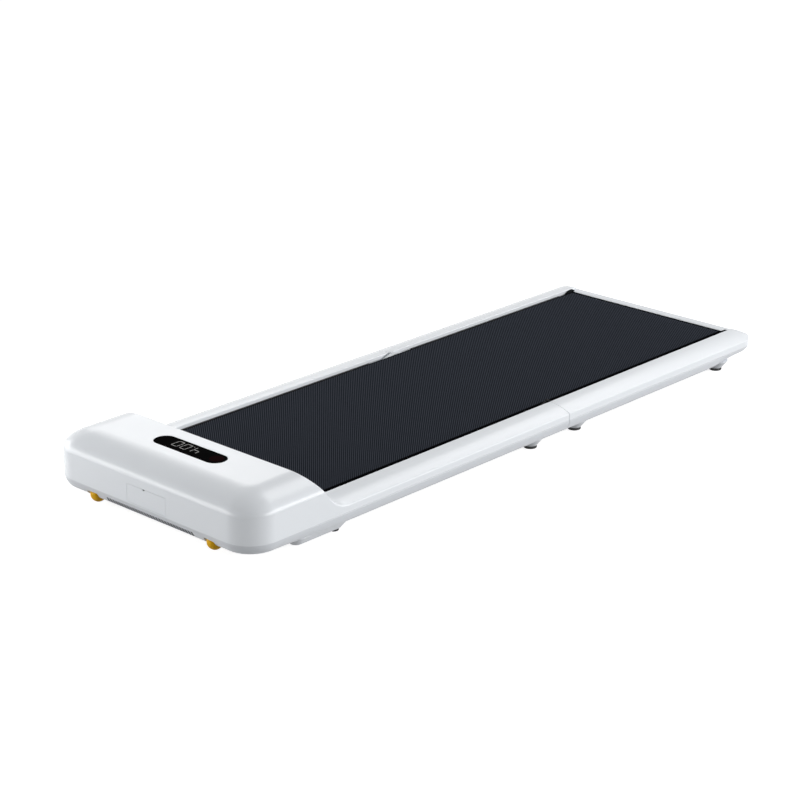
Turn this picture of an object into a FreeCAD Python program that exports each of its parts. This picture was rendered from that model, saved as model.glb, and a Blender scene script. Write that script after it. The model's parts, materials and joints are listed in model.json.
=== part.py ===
"""Folding walking pad: a two-piece deck on a centre hinge, with the drive under a moulded hood.

Millimetres, +Z up, +X from the head to the tail. The origin is on the floor under the middle of the
object. Left is the left hand of a walker, who faces the head, so left is -Y.
"""
import FreeCAD, Part
import math
import os
import re

import Sketcher
from FreeCAD import Placement, Rotation, Vector

# Driving dimensions. Distances called from_nose run along X from the foremost point of the head, and
# setbacks run inwards from the outline, the seam or the edge that carries the piece.
SIZES = {
    "overall_length": 1445,
    "overall_width": 519,
    "shell_wall": 3,
    "slide_clearance": 0.4,
    "running_clearance": 0.05,
    "seam_from_nose": 831.7,
    "seam_gap": 1,
    # Levels above the floor.
    "underside_height": 20,
    "floor_thickness": 2,
    "wall_low_height": 40,
    "rail_crease_height": 52,
    "belt_height": 59.7,
    "rail_inner_height": 64.7,
    # Shells.
    "crease_margin": 14,
    "under_bevel": 14.5,
    "side_bevel": 7.5,
    "rim_width": 3.7,
    "head_corner": 60,
    "tail_corner": 32,
    "hood_rise": 32,
    "hood_round_run": 65,
    "hood_corner_fade": 0.75,
    "hood_back_top": 157,
    "hood_back_low": 200,
    "apron_thickness": 3.6,
    "apron_gap": 2.8,
    "rail_width": 50.8,
    "rail_skirt": 20.7,
    "scoop_inner_rise": 13,
    "scoop_outer_rise": 25,
    "scoop_inner_length": 17.5,
    "scoop_outer_length": 32.5,
    "scoop_lip": 1.5,
    "tail_block": 50,
    "tail_strip_height": 60.5,
    "tail_strip_setback": 21,
    "tail_round_run": 20,
    "tail_round_drop": 17.5,
    "tail_round_lift": 0.5,
    # Vent slots in the front bevel.
    "vent_count": 30,
    "vent_margin": 40,
    "vent_width": 4.2,
    "vent_low_height": 22.5,
    "vent_high_height": 31,
    # Display.
    "lens_from_nose": 105,
    "lens_length": 170,
    "lens_width": 42,
    "lens_rim": 2,
    "display_depth": 9,
    "board_thickness": 1.6,
    # Frame tubes.
    "tube_gap": 3.5,
    "tube_width": 30,
    "tube_height": 22,
    "tube_wall": 1.5,
    "tube_front_from_nose": 190,
    "tube_rear_setback": 73,
    "tube_seam_setback": 2,
    "cross_tubes": 3,
    "front_cross_from_nose": 250,
    "front_cross_setback": 96.7,
    "rear_cross_start": 93.3,
    "rear_cross_setback": 37,
    "cross_tube_width": 30,
    "cross_tube_height": 14,
    "cushion_inner": 55,
    "cushion_setback": 48.3,
    "cushion_radius": 12,
    "cushion_height": 2.8,
    # Deck, belt and rollers.
    "deck_thickness": 12,
    "deck_front_from_nose": 185,
    "deck_rear_setback": 73.5,
    "belt_side_gap": 8.7,
    "belt_thickness": 1.6,
    "belt_gap": 0.3,
    "belt_end_setback": 23.3,
    "roller_diameter": 32,
    "roller_bore": 26,
    "roller_overhang": 0.5,
    "front_roller_from_nose": 150,
    "axle_diameter": 12,
    "bearing_width": 8,
    "bracket_thickness": 4,
    "bracket_height": 32,
    "bracket_margin": 14,
    "flange_thickness": 3,
    "front_bracket_setback": 33.5,
    "rear_bracket_width": 6.8,
    "rear_bracket_gap": 0.5,
    "bolt_diameter": 4,
    "bolt_head_diameter": 7.5,
    "bolt_head_height": 4,
    "guard_length": 26,
    "guard_height": 12.5,
    # Drive.
    "pulley_setback": 52.5,
    "pulley_width": 14,
    "roller_pulley_diameter": 34,
    "motor_pulley_diameter": 20,
    "drive_belt_width": 10,
    "drive_belt_thickness": 2,
    "motor_from_nose": 60,
    "motor_height": 66,
    "motor_diameter": 70,
    "motor_bay_gap": 12,
    "motor_pulley_gap": 17,
    "motor_wall": 3,
    "motor_cap": 6,
    "motor_shaft_diameter": 10,
    "shaft_stub": 2,
    "rotor_diameter": 52,
    "rotor_share": 0.65625,
    "cradle_width": 44,
    "cradle_setback": 16,
    "cradle_height": 20,
    # Controller.
    "controller_from_nose": 48,
    "controller_depth": 76,
    "controller_bay_gap": 22,
    "controller_setback": 33.5,
    "standoff_height": 8,
    "standoff_radius": 4,
    "standoff_margin": 7,
    "sink_depth": 36,
    "sink_length": 74,
    "sink_base": 4,
    "sink_height": 30,
    "sink_fin": 2.4,
    "sink_fins": 7,
    "capacitor_radius": 11,
    "capacitor_height": 36,
    # Power bay and flap.
    "flap_half_width": 50,
    "flap_sill": 2.4,
    "flap_reach": 6.8,
    "flap_thickness": 2.7,
    "flap_pin_radius": 0.8,
    "flap_pin_length": 3,
    "notch_radius": 7,
    "notch_depth": 1.5,
    "bay_margin": 3,
    "bay_depth": 42,
    "socket_offset": 20,
    "socket_drop": 0.2,
    "inlet_width": 28,
    "inlet_tall": 20,
    "inlet_wall": 2,
    "inlet_depth": 22,
    "inlet_recess": 17,
    "inlet_pin_length": 11,
    "inlet_pin_thick": 2,
    "inlet_pin_wide": 4,
    "inlet_pin_pitch": 7,
    "flange_margin": 3,
    "bezel_thickness": 2,
    "switch_width": 22,
    "switch_tall": 15,
    "switch_wall": 2,
    "switch_depth": 16,
    "switch_recess": 8,
    "rocker_gap": 0.8,
    "rocker_rise": 2,
    "trunnion_radius": 1,
    # Transport wheels.
    "wheel_from_nose": 21,
    "wheel_setback": 108,
    "wheel_height": 21.9,
    "wheel_diameter": 30,
    "wheel_width": 24,
    "wheel_axle_diameter": 6,
    "wheel_gap": 1,
    "wheel_round": 7,
    "fork_thickness": 2.5,
    "fork_front": 4.5,
    "fork_back": 8,
    "fork_low_height": 18,
    "fork_high_height": 39.5,
    "fork_flange": 6,
    "fork_flange_front": 2.5,
    "wheel_opening_back": 37.5,
    "wheel_opening_height": 33,
    # Fold hinge.
    "hinge_rise": 0.5,
    "knuckle_radius": 3,
    "hinge_pin_diameter": 2.8,
    "hinge_setback": 7.5,
    "leaf_thickness": 2.7,
    "leaf_gap": 0.3,
    "leaf_length": 62,
    "leaf_low_height": 30,
    "leaf_foot": 4,
    "leaf_shoulder_height": 48,
    "leaf_toe": 20,
    "hinge_notch_gap": 0.5,
    "pin_head_diameter": 5,
    "pin_head_height": 1,
    # Feet.
    "foot_setback": 31,
    "foot_radius": 13,
    "foot_height": 6.3,
    "foot_bevel": 1,
    "cup_low_radius": 14,
    "cup_top_radius": 26,
    "cup_hollow": 2,
    "front_foot_setback": 78.7,
    "middle_foot_setback": 53.3,
    "rear_foot_setback": 95,
    "pod_from_nose": 180,
    "pod_setback": 30,
    "pod_length": 139,
    "pod_width": 30,
    "pod_taper": 5,
    "pod_end_taper": 14,
    "pod_foot_shift": 45,
    "pod_foot_radius": 9,
}

# Places and sizes that follow from the driving dimensions.
PLACES = {
    # Cutting shapes run this far past what they cut.
    "past": "10",
    "nose": "-overall_length / 2",
    "tail": "overall_length / 2",
    "half_width": "overall_width / 2",
    "seam": "nose + seam_from_nose",
    "front_end": "seam - seam_gap / 2",
    "rear_start": "seam + seam_gap / 2",
    "rail_inner": "half_width - rail_width",
    "belt_width": "2 * (rail_inner - belt_side_gap)",
    "roller_length": "belt_width + 2 * roller_overhang",
    "belt_end_from_nose": "overall_length - belt_end_setback",
    "tail_strip_from_nose": "overall_length - tail_strip_setback",
    "floor_top": "underside_height + floor_thickness",
    "bevel_height": "wall_low_height - underside_height",
    "back_lean": "(hood_back_low - hood_back_top) / (hood_height - belt_height)",
    "head_reach": "nose + hood_back_low + 4 * past",
    "flap_low_height": "wall_low_height + flap_sill",
    "flap_high_height": "flap_low_height + inlet_tall + 2 * flap_reach",
    "crease_height": "flap_high_height + crease_margin",
    "hood_height": "crease_height + hood_rise",
    "rail_run": "half_width - rail_inner",
    "rail_rise": "rail_inner_height - rail_crease_height",
    "rail_radius": "(rail_run * rail_run + rail_rise * rail_rise) / (2 * rail_rise)",
    "rail_centre": "rail_crease_height + rail_radius",
    "rail_low_height": "rail_inner_height - rail_skirt",
    "roller_radius": "roller_diameter / 2",
    "axle_radius": "axle_diameter / 2",
    "loop_inner": "roller_radius + belt_gap",
    "loop_outer": "loop_inner + belt_thickness",
    "roller_height": "belt_height - loop_outer",
    "front_roller": "nose + front_roller_from_nose",
    "rear_roller": "nose + belt_end_from_nose - loop_outer",
    "deck_top": "belt_height - belt_thickness - belt_gap",
    "deck_bottom": "deck_top - deck_thickness",
    "cross_top": "deck_bottom - cushion_height",
    "deck_half": "rail_inner - slide_clearance",
    "deck_rear_from_nose": "overall_length - deck_rear_setback",
    "cushion_outer": "deck_half - cushion_setback",
    "tube_inner": "rail_inner + tube_gap",
    "tube_outer": "tube_inner + tube_width",
    "tube_top": "floor_top + tube_height",
    "front_tube_start": "nose + tube_front_from_nose",
    "front_tube_end": "seam - tube_seam_setback",
    "rear_tube_start": "seam + tube_seam_setback",
    "rear_tube_end": "tail - tube_rear_setback",
    "front_cross_last": "seam_from_nose - front_cross_setback",
    "front_cross_pitch": "(front_cross_last - front_cross_from_nose) / (cross_tubes - 1)",
    "rear_cross_from_nose": "seam_from_nose + rear_cross_start",
    "rear_cross_last": "overall_length - tube_rear_setback - rear_cross_setback",
    "rear_cross_pitch": "(rear_cross_last - rear_cross_from_nose) / (cross_tubes - 1)",
    "front_bracket_inner": "half_width - front_bracket_setback",
    "rear_bracket_outer": "rail_inner - rear_bracket_gap",
    "rear_bracket_inner": "rear_bracket_outer - rear_bracket_width",
    "bracket_low": "floor_top + 2 * slide_clearance",
    "bracket_top": "bracket_low + bracket_height",
    "block_start": "tail - tail_block",
    "vent_span": "2 * (wheel_offset - vent_margin)",
    "tail_crown": "rail_inner_height + tail_round_lift",
    "tail_round_radius": "(tail_round_run * tail_round_run + tail_round_drop * tail_round_drop) / (2 * tail_round_drop)",
    "tail_round_start": "tail - tail_round_run",
    "tail_round_centre": "tail_crown - tail_round_radius",
    "tail_round_low": "tail_crown - tail_round_drop",
    "strip_rise": "tail_strip_height - tail_round_centre",
    "tail_strip_end": "tail_round_start + sqrt(tail_round_radius * tail_round_radius - strip_rise * strip_rise)",
    "lens_x": "nose + lens_from_nose",
    "lens_bend": "(lens_length - lens_width) / 2",
    "hood_ceiling": "hood_height - shell_wall",
    "motor_x": "nose + motor_from_nose",
    "motor_radius": "motor_diameter / 2",
    "pulley_start": "half_width - pulley_setback",
    "motor_start": "flap_half_width + motor_bay_gap",
    "motor_length": "pulley_start - motor_pulley_gap - motor_start",
    "rotor_length": "motor_length * rotor_share",
    "cradle_length": "motor_length - 2 * cradle_setback",
    "motor_end": "motor_start + motor_length",
    "shaft_radius": "motor_shaft_diameter / 2",
    "pulley_end": "pulley_start + pulley_width",
    "pulley_middle": "pulley_start + pulley_width / 2",
    "controller_inner": "flap_half_width + controller_bay_gap",
    "controller_outer": "half_width - controller_setback",
    "controller_front": "nose + controller_from_nose",
    "controller_back": "controller_front + controller_depth",
    "controller_bottom": "floor_top + standoff_height",
    "controller_top": "controller_bottom + board_thickness",
    "hatch_half": "flap_half_width + slide_clearance",
    "hatch_low": "flap_low_height - slide_clearance",
    "hatch_high": "flap_high_height + slide_clearance",
    "flap_axis_x": "nose + flap_thickness / 2",
    "flap_axis_z": "flap_low_height + flap_thickness / 2",
    "socket_height": "(flap_low_height + flap_high_height) / 2 - socket_drop",
    "bay_front": "nose + shell_wall",
    "bay_back": "bay_front + bay_depth",
    "bay_wall_front": "bay_back - shell_wall",
    "bezel_front": "bay_wall_front - bezel_thickness",
    "rocker_axis_x": "bay_wall_front + switch_recess / 4",
    "wheel_x": "nose + wheel_from_nose",
    "wheel_offset": "half_width - wheel_setback",
    "wheel_radius": "wheel_diameter / 2",
    "cheek_inner": "wheel_width / 2 + wheel_gap",
    "cheek_outer": "cheek_inner + fork_thickness",
    "pivot_height": "rail_inner_height + hinge_rise",
    "hinge_pin_radius": "hinge_pin_diameter / 2",
    "hinge_start": "rail_inner - hinge_setback",
    "front_leaf_outer": "hinge_start + leaf_thickness",
    "rear_leaf_inner": "front_leaf_outer + leaf_gap",
    "rear_leaf_outer": "rear_leaf_inner + leaf_thickness",
    "hinge_notch": "leaf_length + 2 * hinge_notch_gap",
    "foot_offset": "half_width - foot_setback",
    "front_foot_from_nose": "seam_from_nose - front_foot_setback",
    "middle_foot_from_nose": "seam_from_nose + middle_foot_setback",
    "rear_foot_from_nose": "overall_length - rear_foot_setback",
    "cup_rise": "underside_height - foot_height",
    "cup_spread": "cup_top_radius - cup_low_radius",
    "cup_chord": "sqrt(cup_spread * cup_spread + cup_rise * cup_rise)",
    "cup_curve": "(cup_chord * cup_chord / 4 + cup_hollow * cup_hollow) / (2 * cup_hollow)",
    "cup_curve_out": "(cup_low_radius + cup_top_radius) / 2 + (cup_curve - cup_hollow) * cup_rise / cup_chord",
    "cup_curve_up": "(foot_height + underside_height) / 2 - (cup_curve - cup_hollow) * cup_spread / cup_chord",
    "pod_x": "nose + pod_from_nose",
    "pod_offset": "half_width - pod_setback",
    "pod_foot_from_nose": "pod_from_nose + pod_foot_shift",
    "pod_half": "(pod_length - pod_width) / 2",
}

# Steps round the hood's elliptic edge, in degrees.
HOOD_ANGLES = (0, 24, 46, 68, 90)
# Sections of the scoop, from a rail's inner edge to its outer edge.
SCOOP_SHARES = (0, 0.25, 0.5, 0.75, 1)
SIDES = {"left": -1, "right": 1}

doc = FreeCAD.newDocument("walking_pad")
sheet = doc.addObject("Spreadsheet::Sheet", "size")
for row, (name, amount) in enumerate(SIZES.items(), start=1):
    sheet.set(f"A{row}", name)
    sheet.set(f"B{row}", str(amount))
    sheet.setAlias(f"B{row}", name)
doc.recompute()

nodes = {}


def expression(text):
    """Spell a formula out: places become their own formulas and sizes point at the sheet."""
    def spell(match):
        word = match.group(0)
        if word in PLACES:
            return f"({expression(PLACES[word])})"
        if word in SIZES:
            return f"size.{word}"
        return word
    return re.sub(r"[a-z_]+", spell, str(text))


def number(text):
    """Value of a formula in millimetres."""
    amount = sheet.evalExpression(expression(text))
    return float(getattr(amount, "Value", amount))


def back_plane(height):
    """X of the head's leaning back at a height."""
    return f"nose + hood_back_top + (hood_height - ({height})) * back_lean"


def rail_top(offset, depth="0"):
    """Height of a rail's dished top at a distance from the middle, or of a skin at a depth below it."""
    radius = f"(rail_radius + {depth})"
    out = f"(half_width - ({offset}))"
    return f"rail_centre - sqrt({radius} * {radius} - {out} * {out})"


def span(sign, near, far):
    """Low and high Y of a stretch that lies near to far from the middle, on one side."""
    return (near, far) if sign > 0 else (f"-({far})", f"-({near})")


def keep(label, part):
    """Name a finished sub-part."""
    part.Label = label
    nodes[label] = part
    return part


def block(x, y, z, name="block"):
    """Box between two X, two Y and two Z formulas."""
    part = doc.addObject("Part::Box", name)
    for side, axis, (low, high) in (("Length", "x", x), ("Width", "y", y), ("Height", "z", z)):
        part.setExpression(side, expression(f"({high}) - ({low})"))
        part.setExpression(f"Placement.Base.{axis}", expression(low))
    return part


def rod(axis, radius, start, end, centre, name="rod"):
    """Cylinder along X, Y or Z; centre holds the other two coordinates in order."""
    part = doc.addObject("Part::Cylinder", name)
    direction = {"x": Vector(1, 0, 0), "y": Vector(0, 1, 0), "z": Vector(0, 0, 1)}[axis]
    part.Placement = Placement(Vector(), Rotation(Vector(0, 0, 1), direction))
    part.setExpression("Radius", expression(radius))
    part.setExpression("Height", expression(f"({end}) - ({start})"))
    others = [letter for letter in "xyz" if letter != axis]
    for letter, text in zip([axis] + others, [start] + list(centre)):
        part.setExpression(f"Placement.Base.{letter}", expression(text))
    return part


def fuse(pieces, name="fuse"):
    """One solid from several that overlap or share a face."""
    part = doc.addObject("Part::MultiFuse", name)
    part.Shapes = pieces
    return part


def group(pieces, name="group"):
    """Several separate solids in one sub-part."""
    part = doc.addObject("Part::Compound", name)
    part.Links = pieces
    return part


def cut(base, tools, name="cut"):
    """Base less one tool or several."""
    part = doc.addObject("Part::Cut", name)
    part.Base = base
    part.Tool = tools[0] if len(tools) == 1 else fuse(tools, "tools")
    return part


def ring(axis, outer, inner, start, end, centre, name="ring"):
    """Tube along an axis."""
    return cut(rod(axis, outer, start, end, centre), [rod(axis, inner, start, end, centre)], name)


def new_body(name):
    """Empty body for sketched features."""
    return doc.addObject("PartDesign::Body", name)


def new_sketch(body, plane, level, name="sketch"):
    """Sketch on one of the body's own origin planes, raised to a level along its normal."""
    sketch = body.newObject("Sketcher::SketchObject", name)
    support = [item for item in body.Origin.OriginFeatures if item.Role == f"{plane}_Plane"][0]
    sketch.AttachmentSupport = (support, [""])
    sketch.MapMode = "FlatFace"
    sketch.setExpression("AttachmentOffset.Base.z", expression(level))
    return sketch


def fix(sketch, kind, geometry, position, text):
    """Hold one coordinate of a sketch point at a formula."""
    index = sketch.addConstraint(Sketcher.Constraint(kind, -1, 1, geometry, position, number(text)))
    sketch.setExpression(f"Constraints[{index}]", expression(text))


def add_loop(sketch, points, arcs=None):
    """Closed loop through points. arcs maps a side's index to its centre and its turn, 1 or -1."""
    arcs = arcs or {}
    spots = [Vector(number(u), number(v), 0) for u, v in points]
    sides = []
    for index, start in enumerate(spots):
        end = spots[(index + 1) % len(spots)]
        if index not in arcs:
            sides.append((sketch.addGeometry(Part.LineSegment(start, end), False), 1, 2))
            continue
        centre_u, centre_v, turn = arcs[index]
        centre = Vector(number(centre_u), number(centre_v), 0)
        first, last = (start, end) if turn > 0 else (end, start)
        begin = math.atan2(first.y - centre.y, first.x - centre.x)
        finish = math.atan2(last.y - centre.y, last.x - centre.x)
        if finish <= begin:
            finish += 2 * math.pi
        circle = Part.Circle(centre, Vector(0, 0, 1), centre.distanceToPoint(start))
        geometry = sketch.addGeometry(Part.ArcOfCircle(circle, begin, finish), False)
        sides.append((geometry, 1, 2) if turn > 0 else (geometry, 2, 1))
    for index, (geometry, _, last) in enumerate(sides):
        following, first, _ = sides[(index + 1) % len(sides)]
        sketch.addConstraint(Sketcher.Constraint("Coincident", geometry, last, following, first))
    for (geometry, first, _), (u, v) in zip(sides, points):
        fix(sketch, "DistanceX", geometry, first, u)
        fix(sketch, "DistanceY", geometry, first, v)
    for index, (centre_u, centre_v, _) in arcs.items():
        chord = spots[(index + 1) % len(spots)] - spots[index]
        if abs(chord.y) > abs(chord.x):
            fix(sketch, "DistanceX", sides[index][0], 3, centre_u)
        else:
            fix(sketch, "DistanceY", sides[index][0], 3, centre_v)


def add_circle(sketch, u, v, radius):
    """Circle at a place in a sketch."""
    shape = Part.Circle(Vector(number(u), number(v), 0), Vector(0, 0, 1), number(radius))
    geometry = sketch.addGeometry(shape, False)
    fix(sketch, "DistanceX", geometry, 3, u)
    fix(sketch, "DistanceY", geometry, 3, v)
    index = sketch.addConstraint(Sketcher.Constraint("Radius", geometry, number(radius)))
    sketch.setExpression(f"Constraints[{index}]", expression(radius))


def start_level(plane, low, high, removing):
    """Sketch level from which a pad or pocket runs between low and high."""
    against = plane == "XZ"
    level = high if against != removing else low
    return f"-({level})" if against else level


def run_feature(body, sketch, length, removing):
    """Pad or pocket of a sketch. A pocket has to take material away."""
    kind = "PartDesign::Pocket" if removing else "PartDesign::Pad"
    before = body.Shape.Volume if removing else 0
    feature = body.newObject(kind, kind.split("::")[1])
    feature.Profile = sketch
    feature.setExpression("Length", expression(length))
    doc.recompute()
    if removing and feature.Shape.Volume > before - 1e-3:
        raise RuntimeError(f"{body.Label}: a pocket cuts nothing")
    return feature


def prism(body, plane, low, high, loops, removing=False):
    """Straight pad or pocket of closed loops between two levels along X, Y or Z."""
    sketch = new_sketch(body, plane, start_level(plane, low, high, removing))
    for points, arcs in loops:
        add_loop(sketch, points, arcs)
    return run_feature(body, sketch, f"({high}) - ({low})", removing)


def peg(body, plane, low, high, u, v, radius, removing=False):
    """Round pad or pocket between two levels along X, Y or Z."""
    sketch = new_sketch(body, plane, start_level(plane, low, high, removing))
    add_circle(sketch, u, v, radius)
    return run_feature(body, sketch, f"({high}) - ({low})", removing)


def loft(body, sketches, removing=False, ruled=True):
    """Loft through sketches, added to the body or taken from it."""
    kind = "PartDesign::SubtractiveLoft" if removing else "PartDesign::AdditiveLoft"
    feature = body.newObject(kind, kind.split("::")[1])
    feature.Profile = sketches[0]
    feature.Sections = sketches[1:]
    feature.Ruled = ruled
    doc.recompute()
    return feature


def turned(name, points, place, axis="z", arcs=None):
    """Body turned about its own Z or Y axis, from points given as radius and distance along it."""
    body = new_body(name)
    sketch = new_sketch(body, {"z": "XZ", "y": "XY"}[axis], "0")
    add_loop(sketch, points, arcs)
    feature = body.newObject("PartDesign::Revolution", "Revolution")
    feature.Profile = sketch
    feature.ReferenceAxis = (sketch, ["V_Axis"])
    feature.Angle = 360
    for letter, text in zip("xyz", place):
        body.setExpression(f"Placement.Base.{letter}", expression(text))
    return body


def mirrored(part, name):
    """Copy of a left-hand part on the right."""
    copy = doc.addObject("Part::Mirroring", name)
    copy.Source = part
    copy.Normal = Vector(0, 1, 0)
    return copy


def head_loop(inset, corner, back, side_inset=None):
    """Plan of the head: straight sides, two round front corners and a straight back."""
    front = f"nose + ({inset})"
    side = f"half_width - ({side_inset or inset})"
    bend_x = f"{front} + ({corner})"
    bend_y = f"{side} - ({corner})"
    points = [
        (back, side),
        (bend_x, side),
        (front, bend_y),
        (front, f"-({bend_y})"),
        (bend_x, f"-({side})"),
        (back, f"-({side})"),
    ]
    arcs = {1: (bend_x, bend_y, 1), 3: (bend_x, f"-({bend_y})", 1)}
    return points, arcs


def tail_loop(inset, corner, front, side_inset=None):
    """Plan of the tail: straight sides, two round rear corners and a straight front."""
    back = f"tail - ({inset})"
    side = f"half_width - ({side_inset or inset})"
    bend_x = f"{back} - ({corner})"
    bend_y = f"{side} - ({corner})"
    points = [
        (front, f"-({side})"),
        (bend_x, f"-({side})"),
        (back, f"-({bend_y})"),
        (back, bend_y),
        (bend_x, side),
        (front, side),
    ]
    arcs = {1: (bend_x, f"-({bend_y})", 1), 3: (bend_x, bend_y, 1)}
    return points, arcs


def stadium_loop(u, v, half_run, radius, along_u=True):
    """Two straight sides joined by half circles."""
    if along_u:
        low, high = f"({u}) - ({half_run})", f"({u}) + ({half_run})"
        under, over = f"({v}) - ({radius})", f"({v}) + ({radius})"
        points = [(low, under), (high, under), (high, over), (low, over)]
        return points, {1: (high, v, 1), 3: (low, v, 1)}
    low, high = f"({v}) - ({half_run})", f"({v}) + ({half_run})"
    before, after = f"({u}) - ({radius})", f"({u}) + ({radius})"
    points = [(after, low), (after, high), (before, high), (before, low)]
    return points, {1: (u, high, 1), 3: (u, low, 1)}


def rectangle(u, v):
    """Loop between two u and two v formulas."""
    return [(u[0], v[0]), (u[1], v[0]), (u[1], v[1]), (u[0], v[1])], None


def dome(name, inset, rise):
    """Solid dome of the hood: an elliptic round along the front and both sides, cut by a leaning back."""
    body = new_body(name)
    sketches = []
    for angle in HOOD_ANGLES:
        drawn_in = f"hood_round_run * (1 - cos({angle}))"
        corner = f"head_corner - ({inset}) - hood_corner_fade * {drawn_in}"
        sketch = new_sketch(body, "XY", f"crease_height + ({rise}) * sin({angle})")
        points, arcs = head_loop(f"({inset}) + {drawn_in}", corner, "head_reach")
        add_loop(sketch, points, arcs)
        sketches.append(sketch)
    loft(body, sketches, ruled=False)
    return body


def lean_cut(body, shift, low, high):
    """Take away what lies behind the head's leaning back, moved by a shift along X."""
    points = [
        (f"{back_plane(low)} + ({shift})", low),
        ("head_reach + past", low),
        ("head_reach + past", high),
        (f"{back_plane(high)} + ({shift})", high),
    ]
    prism(body, "XZ", "-half_width - past", "half_width + past", [(points, None)], removing=True)


def make_hood():
    """Moulded hood: a thin dome with an apron that hangs down to the belt and a window for the lens."""
    outer = dome("hood_outer", "0", "hood_rise")
    lean_cut(outer, "0", "crease_height - past", "hood_height + past")
    inner = dome("hood_inner", "shell_wall", "hood_rise - shell_wall")
    lean_cut(inner, "-apron_thickness", "crease_height - past", "hood_height + past")
    shell = cut(outer, [inner], "hood_shell")
    apron = new_body("hood_apron")
    low, high = "belt_height + apron_gap", "crease_height"
    points = [
        (back_plane(low), low),
        (back_plane(high), high),
        (f"{back_plane(high)} - apron_thickness", high),
        (f"{back_plane(low)} - apron_thickness", low),
    ]
    side = "half_width - shell_wall"
    prism(apron, "XZ", f"-({side})", side, [(points, None)])
    window = new_body("lens_window")
    loop = stadium_loop("lens_x", "0", "lens_bend", "lens_width / 2 + slide_clearance / 2", along_u=False)
    prism(window, "XY", "hood_ceiling - past", "hood_height + past", [loop])
    keep("hood", cut(fuse([shell, apron]), [window], "hood"))


def make_head_shell():
    """Wall round the front and sides of the head, with the hatch for the power bay."""
    body = new_body("head_shell")
    prism(body, "XY", "wall_low_height", "crease_height", [head_loop("0", "head_corner", "head_reach")])
    inside = head_loop("shell_wall", "head_corner - shell_wall", "head_reach + past")
    prism(body, "XY", "wall_low_height", "crease_height", [inside], removing=True)
    lean_cut(body, "0", "wall_low_height - past", "crease_height + past")
    hatch = rectangle(("-hatch_half", "hatch_half"), ("hatch_low", "hatch_high"))
    prism(body, "YZ", "nose - past", "nose + shell_wall + past", [hatch], removing=True)
    reach = "hatch_half + flap_pin_length"
    bore = "flap_pin_radius + running_clearance"
    peg(body, "XZ", f"-({reach})", reach, "flap_axis_x", "flap_axis_z", bore, removing=True)
    keep("head_shell", body)


def tray_body(name, loop, open_end, past_end):
    """Shallow pan with a bevelled rim that is steeper along the sides, open at the fold."""
    body = new_body(name)
    corner = "head_corner" if loop is head_loop else "tail_corner"
    share = "(1 - floor_thickness / bevel_height)"
    low_inset = f"under_bevel * {share} + rim_width"
    low_side = f"side_bevel * {share} + rim_width"
    levels = (
        (("under_bevel", "side_bevel", "underside_height"), ("0", "0", "wall_low_height"), open_end, False),
        ((low_inset, low_side, "floor_top"), ("rim_width", "rim_width", "wall_low_height"), past_end, True),
    )
    for bottom, top, end, removing in levels:
        sketches = []
        for inset, side_inset, level in (bottom, top):
            sketch = new_sketch(body, "XY", level)
            add_loop(sketch, *loop(inset, f"{corner} - ({inset})", end, side_inset))
            sketches.append(sketch)
        loft(body, sketches, removing)
    return body


def make_front_tray():
    """Front pan with vent slots, wheel openings and board standoffs."""
    body = tray_body("front_tray", head_loop, "front_end", "front_end + past")
    first = "-vent_span / 2"
    slot = rectangle((first, f"{first} + vent_width"), ("vent_low_height", "vent_high_height"))
    pocket = prism(body, "YZ", "nose - past", "nose + under_bevel + rim_width", [slot], removing=True)
    pattern = body.newObject("PartDesign::LinearPattern", "vents")
    pattern.Originals = [pocket]
    pattern.Direction = (pocket.Profile[0], ["H_Axis"])
    pattern.setExpression("Length", expression("vent_span - vent_width"))
    pattern.setExpression("Occurrences", expression("vent_count"))
    body.Tip = pattern
    doc.recompute()
    for sign in SIDES.values():
        round_room = span(sign, "wheel_offset - cheek_inner", "wheel_offset + cheek_inner")
        peg(body, "XZ", *round_room, "wheel_x", "wheel_height", "wheel_radius + wheel_gap", removing=True)
        across = span(sign, "wheel_offset - cheek_outer - slide_clearance",
                      "wheel_offset + cheek_outer + slide_clearance")
        along = ("wheel_x - fork_front - slide_clearance", "nose + wheel_opening_back")
        opening = rectangle(along, across)
        prism(body, "XY", "underside_height - past", "wheel_opening_height", [opening], removing=True)
    for x in ("controller_front + standoff_margin", "controller_back - standoff_margin"):
        for y in ("-controller_inner - standoff_margin", "-controller_outer + standoff_margin"):
            peg(body, "XY", "floor_top", "controller_bottom", x, y, "standoff_radius")
    keep("front_tray", body)


def make_rear_tray():
    """Rear pan under the second half of the deck."""
    keep("rear_tray", tray_body("rear_tray", tail_loop, "rear_start", "rear_start - past"))


def rail_channel():
    """Section of the left rail cover: inner wall, dished top and outer wall, open below."""
    inner = "rail_inner + shell_wall"
    outer = "half_width - shell_wall"
    points = [
        ("rail_inner", "rail_low_height"),
        ("rail_inner", "rail_inner_height"),
        ("half_width", "rail_crease_height"),
        ("half_width", "wall_low_height"),
        (outer, "wall_low_height"),
        (outer, rail_top(outer, "shell_wall")),
        (inner, rail_top(inner, "shell_wall")),
        (inner, "rail_low_height"),
    ]
    arcs = {1: ("-half_width", "rail_centre", -1), 5: ("-half_width", "rail_centre", 1)}
    return [(f"-({y})", z) for y, z in points], arcs


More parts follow.
